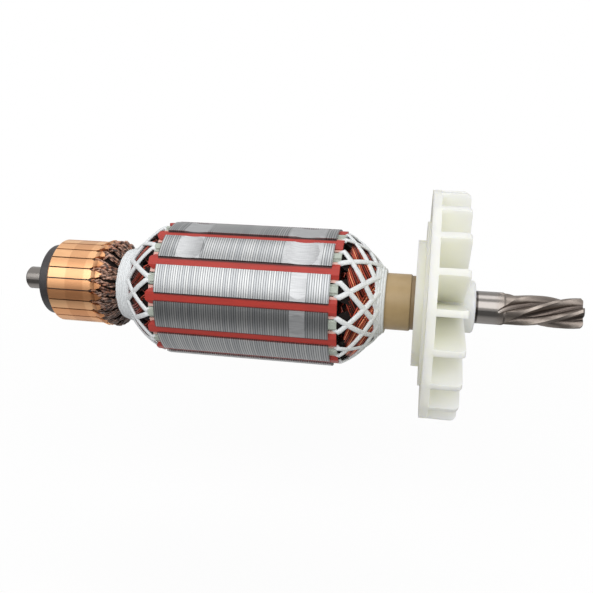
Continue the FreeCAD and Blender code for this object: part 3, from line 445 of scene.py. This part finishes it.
# Slot wedges: strips of red vulcanised fibre, sawn from sheet and pushed into the slot mouths over the
# winding. They have faint streaks along them, drawn coarse enough to show, and a satin skin of varnish.
MOUTH_WIDTH = 3.3 * MM
STREAK_LENGTH = 8.33 * MM
STREAK_WIDTH = 1.11 * MM
STREAK_DEPTH = 0.05 * MM
wedge_fibre, shader, place = start_material("red vulcanised fibre", "c0392d", 0.4)
streak_scale = add_node(wedge_fibre, "ShaderNodeMapping", {}, {
    "Vector": place, "Scale": (1 / STREAK_LENGTH, 1 / STREAK_WIDTH, 1 / STREAK_WIDTH)})
streaks = add_node(wedge_fibre, "ShaderNodeTexNoise", {}, {
    "Vector": streak_scale.outputs[0], "Scale": 1.0, "Detail": 4.0, "Roughness": 0.6})
red = add_node(wedge_fibre, "ShaderNodeMix", {"data_type": "RGBA"}, {
    0: streaks.outputs[0], 6: linear("8e2218"), 7: linear("bc3123")})
# Painted shade under the lips of the teeth draws a dark line along both edges, wider on the upper one.
# Half a mouth is counted here in pitches, from the middle of a slot.
apart = add_node(wedge_fibre, "ShaderNodeSeparateXYZ", {}, {"Vector": place})
in_slot = add_node(wedge_fibre, "ShaderNodeMath", {"operation": "FRACT"}, {
    0: count_around(wedge_fibre, place, SLOT_PITCH, 0.5 - SLOT_PHASE / SLOT_PITCH)})
half_mouth = math.degrees(0.5 * MOUTH_WIDTH / core_radius) / SLOT_PITCH
lower_lip_shade = add_node(wedge_fibre, "ShaderNodeMapRange", {"interpolation_type": "SMOOTHSTEP"}, {
    "Value": in_slot.outputs[0],
    "From Min": 0.5 + 0.7 * half_mouth, "From Max": 0.5 + half_mouth, "To Max": 0.7})
upper_lip_shade = add_node(wedge_fibre, "ShaderNodeMapRange", {"interpolation_type": "SMOOTHSTEP"}, {
    "Value": in_slot.outputs[0],
    "From Min": 0.5 - 0.3 * half_mouth, "From Max": 0.5 - 0.85 * half_mouth})
lip_shade = add_node(wedge_fibre, "ShaderNodeMath", {"operation": "MAXIMUM"}, {
    0: lower_lip_shade.outputs[0], 1: upper_lip_shade.outputs[0]})
in_core = add_node(wedge_fibre, "ShaderNodeMath", {"operation": "COMPARE"}, {
    0: apart.outputs["X"], 1: (core_low.x + core_high.x) / 2, 2: (core_high.x - core_low.x) / 2})
lip_shadow = add_node(wedge_fibre, "ShaderNodeMath", {"operation": "MULTIPLY"}, {
    0: lip_shade.outputs[0], 1: in_core.outputs[0]})
wedge_colour = add_node(wedge_fibre, "ShaderNodeMix", {"data_type": "RGBA"}, {
    0: lip_shadow.outputs[0], 6: red.outputs[2], 7: linear("2e0a08")})
connect(wedge_fibre, wedge_colour.outputs[2], shader, "Base Color")
wedge_bump = add_node(wedge_fibre, "ShaderNodeBump", {}, {
    "Height": streaks.outputs[0], "Strength": 0.25, "Distance": STREAK_DEPTH})
connect(wedge_fibre, wedge_bump.outputs[0], shader, "Normal")
dress(wedge_fibre, *["slot_wedge_%02d" % number for number in SLOT_NUMBERS])


# Commutator: 24 hard copper bars held by a black moulded hub whose front ring shows. The bars are turned
# true after moulding, so they carry fine rings, and the brushes have left a browner track.
BAR_COUNT = 24
BAR_PITCH = 360 / BAR_COUNT
BAR_PHASE = 0.3
bar_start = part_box("commutator_bar_01")[0].x
bar_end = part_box("commutator_moulding")[1].x

# Phenolic moulding: a dull black with a fine grain of filler, drawn coarse enough to show.
FILLER_SIZE = 1.11 * MM
FILLER_DEPTH = 0.04 * MM
moulding_black, shader, place = start_material("black phenolic moulding", "343133", 0.42)
filler = add_node(moulding_black, "ShaderNodeTexNoise", {}, {
    "Vector": place, "Scale": 1 / FILLER_SIZE, "Detail": 3.0})
black = add_node(moulding_black, "ShaderNodeMix", {"data_type": "RGBA"}, {
    0: filler.outputs[0], 6: linear("262426"), 7: linear("444143")})
connect(moulding_black, black.outputs[2], shader, "Base Color")
moulding_bump = add_node(moulding_black, "ShaderNodeBump", {}, {
    "Height": filler.outputs[0], "Strength": 0.2, "Distance": FILLER_DEPTH})
connect(moulding_black, moulding_bump.outputs[0], shader, "Normal")
dress(moulding_black, "commutator_moulding")

# Turned copper: pinkish gold, a little different from bar to bar, and tarnished about the tangs. The
# turning rings are drawn a quarter of a millimetre apart, coarser than real ones.
TRACK_START = bar_start + 8.6 * MM
TRACK_END = bar_end - 3.9 * MM
TRACK_START_EDGE = 0.6 * MM
TRACK_END_EDGE = 0.7 * MM
TRACK_WEAR = 0.28
TANG_START = bar_end - 1.2 * MM
TANG_END = bar_end + 0.6 * MM
TURNING_SPACING = 0.233 * MM
TURNING_LENGTH = 16.7 * MM
TURNING_DEPTH = 0.03 * MM
TARNISH_SIZE = 2.0 * MM
bar_copper, shader, place = start_material("turned hard copper", "e8b48e", 0.4, 1.0)
apart = add_node(bar_copper, "ShaderNodeSeparateXYZ", {}, {"Vector": place})
bar_number = add_node(bar_copper, "ShaderNodeMath", {"operation": "FLOOR"}, {
    0: count_around(bar_copper, place, BAR_PITCH, 0.5 - BAR_PHASE / BAR_PITCH)})
bar_tone = add_node(bar_copper, "ShaderNodeTexWhiteNoise", {"noise_dimensions": "1D"}, {
    "W": bar_number.outputs[0]})
bar_colour = add_node(bar_copper, "ShaderNodeMix", {"data_type": "RGBA"}, {
    0: bar_tone.outputs[0], 6: linear("e6a06c"), 7: linear("fccfa0")})
turning_scale = add_node(bar_copper, "ShaderNodeMapping", {}, {
    "Vector": place, "Scale": (1 / TURNING_SPACING, 1 / TURNING_LENGTH, 1 / TURNING_LENGTH)})
turning = add_node(bar_copper, "ShaderNodeTexNoise", {}, {
    "Vector": turning_scale.outputs[0], "Scale": 1.0, "Detail": 3.0})
past_start = add_node(bar_copper, "ShaderNodeMapRange", {}, {
    "Value": apart.outputs["X"], "From Min": TRACK_START, "From Max": TRACK_START + TRACK_START_EDGE})
before_end = add_node(bar_copper, "ShaderNodeMapRange", {}, {
    "Value": apart.outputs["X"], "From Min": TRACK_END, "From Max": TRACK_END - TRACK_END_EDGE})
in_track = add_node(bar_copper, "ShaderNodeMath", {"operation": "MULTIPLY"}, {
    0: past_start.outputs[0], 1: before_end.outputs[0]})
worn = add_node(bar_copper, "ShaderNodeMath", {"operation": "MULTIPLY"}, {
    0: in_track.outputs[0], 1: TRACK_WEAR})
tracked = add_node(bar_copper, "ShaderNodeMix", {"data_type": "RGBA"}, {
    0: worn.outputs[0], 6: bar_colour.outputs[2], 7: linear("ae6a44")})
near_tang = add_node(bar_copper, "ShaderNodeMapRange", {}, {
    "Value": apart.outputs["X"], "From Min": TANG_START, "From Max": TANG_END})
tarnish = add_node(bar_copper, "ShaderNodeTexNoise", {}, {
    "Vector": place, "Scale": 1 / TARNISH_SIZE, "Detail": 4.0})
tarnished = add_node(bar_copper, "ShaderNodeMath", {"operation": "MULTIPLY"}, {
    0: near_tang.outputs[0], 1: tarnish.outputs[0]})
copper_colour = add_node(bar_copper, "ShaderNodeMix", {"data_type": "RGBA"}, {
    0: tarnished.outputs[0], 6: tracked.outputs[2], 7: linear("9a5a34")})
connect(bar_copper, copper_colour.outputs[2], shader, "Base Color")
copper_bump = add_node(bar_copper, "ShaderNodeBump", {}, {
    "Height": turning.outputs[0], "Strength": 0.25, "Distance": TURNING_DEPTH})
connect(bar_copper, copper_bump.outputs[0], shader, "Normal")
dress(bar_copper, *["commutator_bar_%02d" % number for number in range(1, BAR_COUNT + 1)])


# Commutator leads: the ends of the wire, hooked under the tangs of the bars, twisted together and drawn
# down to the neck of the winding. Thick varnish has turned them grey-brown and lumpy.
LEAD_RADIUS = 0.46 * MM
LEAD_STEPS = 14
STRANDS = 3
NECK_GAP = 0.8 * MM
BULGE_RADIUS = 16.7 * MM
BULGE_SHARE = 0.6
FALL_SHARE = 0.42
FALL_EASE = 1.3
NECK_DROP = 5.6 * MM
DRIFT_DEGREES = (2, 15)
TWIST_DEGREES = (240, 620)
TWIST_WIDTH = 0.62 * MM
TWIST_HEIGHT = 0.5 * MM
LUMP_WIDTH = 0.3 * MM
LUMP_HEIGHT = 0.2 * MM
neck_end = winding_low.x
# One lead starts at each tang and one between each pair of tangs. The one between starts further towards
# the front, and its bulge is a little lower.
LAYERS = (
    {"turn": 0.0, "start": bar_end + 0.9 * MM, "radius": 15.0 * MM, "sunk": 0.0},
    {"turn": BAR_PITCH / 2, "start": bar_end - 0.9 * MM, "radius": 16.0 * MM, "sunk": 0.5 * MM},
)

# Varnish over old enamel: grey-brown, lumpy and half glossy, and scraped to copper at the tangs. Painted
# shade makes it dark in the neck and darker on the underside.
VARNISH_LUMP = 1.25 * MM
VARNISH_DEPTH = 0.3 * MM
UNDERSIDE_SHADE_TOP = 8 * MM
UNDERSIDE_SHADE_BOTTOM = -9 * MM
lead_materials = []
for name, dark, light in (("grey varnished wire", "301c14", "dcab92"),
                          ("brown varnished wire", "301710", "c48262")):
    wire, shader, place = start_material(name, light, 0.35, 0.15)
    lumps = add_node(wire, "ShaderNodeTexNoise", {}, {
        "Vector": place, "Scale": 1 / VARNISH_LUMP, "Detail": 3.0})
    lump_tone = add_node(wire, "ShaderNodeMapRange", {}, {
        "Value": lumps.outputs[0], "From Min": 0.4, "From Max": 0.62})
    varnish = add_node(wire, "ShaderNodeMix", {"data_type": "RGBA"}, {
        0: lump_tone.outputs[0], 6: linear(dark), 7: linear(light)})
    apart = add_node(wire, "ShaderNodeSeparateXYZ", {}, {"Vector": place})
    toward_tang = add_node(wire, "ShaderNodeMapRange", {}, {
        "Value": apart.outputs["X"], "From Min": bar_end + 1.6 * MM, "From Max": bar_end - 0.5 * MM,
        "To Max": 0.7})
    scraped = add_node(wire, "ShaderNodeMix", {"data_type": "RGBA"}, {
        0: toward_tang.outputs[0], 6: varnish.outputs[2], 7: linear("b0744c")})
    # Painted shade: darker towards the neck, and darker still on the underside.
    neck_shade = add_node(wire, "ShaderNodeMapRange", {}, {
        "Value": apart.outputs["X"], "From Min": bar_end + 1.5 * MM, "From Max": neck_end, "To Max": 0.5})
    neck_shaded = add_node(wire, "ShaderNodeMix", {"data_type": "RGBA"}, {
        0: neck_shade.outputs[0], 6: scraped.outputs[2], 7: linear("2a1c17")})
    underside = add_node(wire, "ShaderNodeMapRange", {}, {
        "Value": apart.outputs["Z"], "From Min": UNDERSIDE_SHADE_TOP, "From Max": UNDERSIDE_SHADE_BOTTOM, "To Max": 0.75})
    underside_shaded = add_node(wire, "ShaderNodeMix", {"data_type": "RGBA"}, {
        0: underside.outputs[0], 6: neck_shaded.outputs[2], 7: linear("1d120e")})
    connect(wire, underside_shaded.outputs[2], shader, "Base Color")
    lump_bump = add_node(wire, "ShaderNodeBump", {}, {
        "Height": lumps.outputs[0], "Strength": 0.9, "Distance": VARNISH_DEPTH})
    connect(wire, lump_bump.outputs[0], shader, "Normal")
    shader.inputs["Coat Weight"].default_value = 0.35
    lead_materials.append(wire)

# The mass under the wires, painted near black as shade, turned from its half section.
half_section = (
    (bar_end + 0.3 * MM, 6.0 * MM), (bar_end + 0.3 * MM, 14.3 * MM), (bar_end + 3.4 * MM, 15.4 * MM),
    (bar_end + 5.0 * MM, 14.4 * MM), (neck_end - 0.1 * MM, 11.0 * MM), (neck_end - 0.1 * MM, 6.0 * MM),
)
turned_mass = bmesh.new()
corners = [turned_mass.verts.new((place, 0, radius)) for place, radius in half_section]
for first, second in zip(corners, corners[1:] + corners[:1]):
    turned_mass.edges.new((first, second))
bmesh.ops.spin(turned_mass, geom=turned_mass.verts[:] + turned_mass.edges[:], cent=(0, 0, 0),
               axis=(1, 0, 0), angle=math.tau, steps=72, use_merge=True)
bmesh.ops.remove_doubles(turned_mass, verts=turned_mass.verts, dist=0.001 * MM)
bmesh.ops.recalc_face_normals(turned_mass, faces=turned_mass.faces)
mass_mesh = bpy.data.meshes.new("commutator_lead_mass")
turned_mass.to_mesh(mass_mesh)
turned_mass.free()
mass_mesh.materials.append(shade_dark_winding_mass)
lead_mass = bpy.data.objects.new("commutator_lead_mass", mass_mesh)
bpy.context.scene.collection.objects.link(lead_mass)

# Three strands twist round one another, and slow waves make each lead uneven.
GREY_LEAD, BROWN_LEAD = range(2)
chance = random.Random(21)
lead_paths = []
for bar in range(BAR_COUNT):
    for layer in LAYERS:
        angle = BAR_PHASE + BAR_PITCH * bar + layer["turn"]
        drift = chance.uniform(*DRIFT_DEGREES)
        twisting = chance.uniform(*TWIST_DEGREES)
        wave = chance.uniform(0, math.tau)
        for number in range(STRANDS):
            points = []
            for step in range(LEAD_STEPS + 1):
                share = step / LEAD_STEPS
                place = layer["start"] + (neck_end + NECK_GAP - layer["start"]) * share
                rise = math.sin(math.pi / 2 * min(share / BULGE_SHARE, 1.0))
                fall = max(share - FALL_SHARE, 0) / (1 - FALL_SHARE)
                radius = layer["radius"] + (BULGE_RADIUS - layer["radius"]) * rise - layer["sunk"]
                radius -= NECK_DROP * fall ** FALL_EASE
                twist = math.radians(twisting * share + 360 / STRANDS * number) + wave
                side = TWIST_WIDTH * math.cos(twist) + LUMP_WIDTH * math.sin(9 * share + 2 * wave)
                radius += TWIST_HEIGHT * math.sin(twist) + LUMP_HEIGHT * math.sin(12 * share + 3 * wave)
                points.append(on_shaft(place, radius, angle + drift * share + math.degrees(side / radius)))
            lead_paths.append((points, chance.choice((GREY_LEAD, GREY_LEAD, BROWN_LEAD))))
lead_wires = tubes("commutator_lead_wires", lead_paths, LEAD_RADIUS, lead_materials)
for piece in (lead_wires, lead_mass):
    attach(piece, "root")
    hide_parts("commutator_leads")


# Lacing: flat braided white cord, pulled tight and varnished. It hooks round each finger of the end
# discs, crosses over the winding heads, and ends in several turns round the neck or the collar.
CORD_RADIUS = 0.98 * MM
CORD_PRESS = 0.5
PRESS_REACH = 1.2 * CORD_RADIUS
PRESS_LIFT = 1.15 * MM
UNDER_LIFT = 1.0 * MM
OVER_LIFT = 1.3 * MM
HOOK = ((1.6 * MM, 2.2 * MM), (0.5 * MM, 0.5 * MM))
HEAD_START = 0.6 * MM
CORD_STEPS = 18
TURN_STEPS = 72
SWAY_ALONG = 0.06 * MM
SWAY_OUTWARD = 0.05 * MM
# Where a strand starts beside the middle of its finger, and how far round it goes, in degrees. At the
# drive end the two strands of a finger start crossed and go unequally far, give or take a little.
DRIVE_START = -6.0
DRIVE_SWEEPS = {-1: (-42, 2), 1: (57, 6)}
REAR_START = 1.8
REAR_SWEEP = 27.0


def strand(head, start, sweep, lifts, tighten, reach):
    """Cord from beside a finger, over the head to its turns. It turns faster where the head is thinner."""
    face = head["face"]
    toward = head["toward"]
    first = face + toward * HEAD_START
    step_length = (face + (head["end"] - face) * reach - first) / CORD_STEPS
    places = [first + step_length * step for step in range(CORD_STEPS + 1)]
    way = [0.0]
    for begin, stop in zip(places, places[1:]):
        rise = head_radius(head, stop) - head_radius(head, begin)
        middle = head_radius(head, (begin + stop) / 2)
        way.append(way[-1] + math.hypot(stop - begin, rise) / middle ** tighten)
    points = [on_shaft(face - toward * behind, head["wide"] - below, start) for behind, below in HOOK]
    for place, gone in zip(places, way):
        share = gone / way[-1]
        lift = lifts[0] + (lifts[1] - lifts[0]) * min(share * 2, 1)
        points.append(on_shaft(place, head_radius(head, place) + lift, start + sweep * share))
    return points


def press(piece, head):
    """Flatten cord against a winding head, about the height of its middle line."""
    low, high = sorted((head["face"], head["end"]))
    for vertex in piece.data.vertices:
        place = min(max(vertex.co.x, low), high)
        middle = head_radius(head, place) + PRESS_LIFT
        radius = math.hypot(vertex.co.y, vertex.co.z)
        pressed = middle + (radius - middle) * CORD_PRESS
        if radius > middle - PRESS_REACH:
            vertex.co.y *= pressed / radius
            vertex.co.z *= pressed / radius


def turns(start, end, start_radius, end_radius, count, chance):
    """Turns of cord side by side, each a ring with a little waver."""
    paths = []
    for number in range(count):
        share = (number + 0.5) / count
        sway = chance.uniform(0, math.tau)
        points = []
        for step in range(TURN_STEPS):
            angle = math.tau * step / TURN_STEPS
            place = start + (end - start) * share + SWAY_ALONG * math.sin(2 * angle + sway)
            radius = start_radius + (end_radius - start_radius) * share
            radius += SWAY_OUTWARD * math.sin(3 * angle + sway)
            points.append(on_shaft(place, radius, math.degrees(angle)))
        paths.append((points, 0))
    return paths


# Braided polyester: matt, bluish white and slightly uneven. The varnish fills most of its weave, which is
# drawn coarser than it is.
WEAVE_SIZE = 1.11 * MM
WEAVE_DEPTH = 0.08 * MM
cord_white, shader, place = start_material("varnished white polyester cord", "e4e8ea", 0.5)
weave = add_node(cord_white, "ShaderNodeTexNoise", {}, {
    "Vector": place, "Scale": 1 / WEAVE_SIZE, "Detail": 3.0})
white = add_node(cord_white, "ShaderNodeMix", {"data_type": "RGBA"}, {
    0: weave.outputs[0], 6: linear("cdd2d5"), 7: linear("f0f2f2")})
connect(cord_white, white.outputs[2], shader, "Base Color")
cord_bump = add_node(cord_white, "ShaderNodeBump", {}, {
    "Height": weave.outputs[0], "Strength": 0.2, "Distance": WEAVE_DEPTH})
connect(cord_white, cord_bump.outputs[0], shader, "Normal")

# Two strands leave each finger. One starts over the other, and by halfway they have changed places.
chance = random.Random(4)
drive_cords = []
rear_cords = []
for slot in slot_angles:
    finger = slot + SLOT_PITCH / 2
    for side in (-1, 1):
        lifts = (OVER_LIFT, UNDER_LIFT) if side > 0 else (UNDER_LIFT, OVER_LIFT)
        sweep, spread = DRIVE_SWEEPS[side]
        drive_strand = strand(DRIVE_HEAD, finger + side * DRIVE_START,
                              sweep + chance.uniform(-spread, spread), lifts, tighten=2.0, reach=0.97)
        rear_strand = strand(REAR_HEAD, finger + side * REAR_START,
                             side * REAR_SWEEP, lifts, tighten=1.5, reach=1.0)
        drive_cords.append((drive_strand, 0))
        rear_cords.append((rear_strand, 0))
drive_net = tubes("drive_end_cord", drive_cords, CORD_RADIUS, [cord_white], sides=2)
press(drive_net, DRIVE_HEAD)
rear_net = tubes("commutator_end_cord", rear_cords, CORD_RADIUS, [cord_white], sides=2)
press(rear_net, REAR_HEAD)
# The turns press one another thinner than a strand of the net.
collar_turns = turns(DRIVE_HEAD["end"] - 1.9 * MM, DRIVE_HEAD["end"] + 1.5 * MM,
                     start_radius=14.0 * MM, end_radius=11.3 * MM, count=4, chance=chance)
drive_turns = tubes("drive_end_cord_turns", collar_turns, CORD_RADIUS * 0.8, [cord_white],
                    closed=True, sides=2)
neck_turns = turns(neck_end - 0.6 * MM, REAR_HEAD["end"] + 0.3 * MM,
                   start_radius=13.1 * MM, end_radius=14.8 * MM, count=7, chance=chance)
rear_turns = tubes("commutator_end_cord_turns", neck_turns, CORD_RADIUS * 0.78, [cord_white],
                   closed=True, sides=2)
for piece, node in ((drive_net, "drive_end_lacing"), (drive_turns, "drive_end_lacing"),
                    (rear_net, "commutator_end_lacing"), (rear_turns, "commutator_end_lacing")):
    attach(piece, "root")
    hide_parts(node)


# Fan: one moulding of natural nylon. It is creamy white and lets some light through, so its depths look
# yellow-green. Its skin is satin from the mould, with wide faint clouds in its colour.
CLOUD_SIZE = 16.7 * MM
LIGHT_REACH = 14.0 * MM
fan_nylon, shader, place = start_material("natural moulded nylon", "f3f3e6", 0.42)
cloud = add_node(fan_nylon, "ShaderNodeTexNoise", {}, {
    "Vector": place, "Scale": 1 / CLOUD_SIZE, "Detail": 3.0})
cream = add_node(fan_nylon, "ShaderNodeMix", {"data_type": "RGBA"}, {
    0: cloud.outputs[0], 6: linear("ebebd6"), 7: linear("f2f2e4")})
connect(fan_nylon, cream.outputs[2], shader, "Base Color")
shader.inputs["Subsurface Weight"].default_value = 1.0
shader.inputs["Subsurface Radius"].default_value = (1.0, 0.96, 0.7)
shader.inputs["Subsurface Scale"].default_value = LIGHT_REACH
dress(fan_nylon, "cooling_fan")


# Camera: at the photograph's angle, found by fitting the outlines of the shaft, core, collar and fan. The
# picture's middle lies a little under the shaft.
AZIMUTH = math.radians(10.9)
ELEVATION = math.radians(20.6)
DISTANCE = 0.259
TARGET = Vector((-0.07165, 0.0, 0.0))
SCREEN_DROP = 0.0006
FOCAL_LENGTH = 40.67
SENSOR_WIDTH = 36.0
back = Vector((math.sin(AZIMUTH) * math.cos(ELEVATION), -math.cos(AZIMUTH) * math.cos(ELEVATION),
               math.sin(ELEVATION)))
right = Vector((0, 0, 1)).cross(back).normalized()
up = back.cross(right)
camera_data = bpy.data.cameras.new("camera")
camera_data.lens = FOCAL_LENGTH
camera_data.sensor_width = SENSOR_WIDTH
camera_data.clip_start = 0.01
camera = bpy.data.objects.new("camera", camera_data)
bpy.context.scene.collection.objects.link(camera)
camera.matrix_world = Matrix.Translation(TARGET - up * SCREEN_DROP + back * DISTANCE) @ Matrix(
    (right, up, back)).transposed().to_4x4()
bpy.context.scene.camera = camera


# Floor and room: a white floor well under the armature, which keeps its faint shadow and fades into the
# white of the room. The camera alone sees all of that white. Metal reflects a white patch under the core
# and the commutator, a darker floor round it and a light grey room, and all else is lit by a plain grey.
FLOOR_SIZE = 40.0
FLOOR_HEIGHT = -0.13
SHADOW_SHARE = 0.12
SHADOW_NEAR = 0.15
SHADOW_FAR = 0.45
PATCH_CENTRE = (-0.125, 0.0, 0.0)
PATCH_NEAR = 0.15
PATCH_FAR = 0.23
PATCH_WHITE = 0.68
bpy.ops.mesh.primitive_plane_add(size=FLOOR_SIZE, location=(0, 0, FLOOR_HEIGHT))
floor = bpy.context.object
floor.name = "floor"
floor_white, shader, place = start_material("white floor", "999999", 0.9)
path = add_node(floor_white, "ShaderNodeLightPath", {}, {})
floor_colour = add_node(floor_white, "ShaderNodeMix", {"data_type": "RGBA"}, {
    0: path.outputs["Is Camera Ray"], 6: linear("acacac"), 7: linear("f8f8f8")})
floor_shade = add_node(floor_white, "ShaderNodeMix", {"data_type": "RGBA"}, {
    0: path.outputs["Is Glossy Ray"], 6: floor_colour.outputs[2], 7: linear("686868")})
connect(floor_white, floor_shade.outputs[2], shader, "Base Color")
from_target = add_node(floor_white, "ShaderNodeVectorMath", {"operation": "DISTANCE"}, {
    0: place, 1: TARGET})
fade = add_node(floor_white, "ShaderNodeMapRange", {}, {
    "Value": from_target.outputs["Value"], "From Min": SHADOW_NEAR, "From Max": SHADOW_FAR,
    "To Min": 1 - SHADOW_SHARE, "To Max": 1.0})
to_camera = add_node(floor_white, "ShaderNodeMath", {"operation": "MULTIPLY"}, {
    0: path.outputs["Is Camera Ray"], 1: fade.outputs[0]})
from_patch = add_node(floor_white, "ShaderNodeVectorMath", {"operation": "DISTANCE"}, {
    0: place, 1: PATCH_CENTRE})
patch = add_node(floor_white, "ShaderNodeMapRange", {}, {
    "Value": from_patch.outputs["Value"], "From Min": PATCH_NEAR, "From Max": PATCH_FAR,
    "To Min": PATCH_WHITE, "To Max": 0.0})
to_metal = add_node(floor_white, "ShaderNodeMath", {"operation": "MULTIPLY"}, {
    0: path.outputs["Is Glossy Ray"], 1: patch.outputs[0]})
seen_white = add_node(floor_white, "ShaderNodeMath", {"operation": "MAXIMUM"}, {
    0: to_camera.outputs[0], 1: to_metal.outputs[0]})
glow = add_node(floor_white, "ShaderNodeEmission", {}, {"Color": (1, 1, 1, 1), "Strength": 1.0})
mixed = add_node(floor_white, "ShaderNodeMixShader", {}, {
    0: seen_white.outputs[0], 1: shader.outputs[0], 2: glow.outputs[0]})
surface = floor_white.node_tree.nodes["Material Output"]
connect(floor_white, mixed.outputs[0], surface, "Surface")
floor.data.materials.append(floor_white)

ROOM_LIGHT = 0.5
ROOM_SHINE = 0.25
world = bpy.data.worlds.new("white room")
bpy.context.scene.world = world
world.use_nodes = True
background = world.node_tree.nodes["Background"]
background.inputs["Color"].default_value = (1, 1, 1, 1)
path = add_node(world, "ShaderNodeLightPath", {}, {})
seen = add_node(world, "ShaderNodeMath", {"operation": "MAXIMUM"}, {
    0: path.outputs["Is Camera Ray"], 1: path.outputs["Is Transmission Ray"]})
mirrored = add_node(world, "ShaderNodeMath", {"operation": "MULTIPLY_ADD"}, {
    0: path.outputs["Is Glossy Ray"], 1: ROOM_SHINE, 2: ROOM_LIGHT})
strength = add_node(world, "ShaderNodeMath", {"operation": "MAXIMUM"}, {
    0: mirrored.outputs[0], 1: seen.outputs[0]})
connect(world, strength.outputs[0], background, "Strength")


# Lamps: a wide soft one in front and above, which the third tooth and the bright bars reflect, a weak one
# overhead, and one beyond the pinion that shines in between the blades of the fan.
def lamp(name, place, width, height, power):
    """A soft rectangular lamp that points at the armature."""
    data = bpy.data.lights.new(name, "AREA")
    data.shape = "RECTANGLE"
    data.size = width
    data.size_y = height
    data.energy = power
    item = bpy.data.objects.new(name, data)
    bpy.context.scene.collection.objects.link(item)
    item.location = place
    item.rotation_euler = (TARGET - Vector(place)).to_track_quat("-Z", "Y").to_euler()


lamp("front lamp", (-0.05, -0.66, 0.56), width=1.3, height=0.7, power=5.6)
lamp("top lamp", (-0.1, 0.15, 0.95), width=0.8, height=0.5, power=2.2)
lamp("fan lamp", (0.6, -0.3, 0.05), width=0.5, height=0.5, power=1.5)

bpy.context.scene.view_settings.view_transform = "Standard"
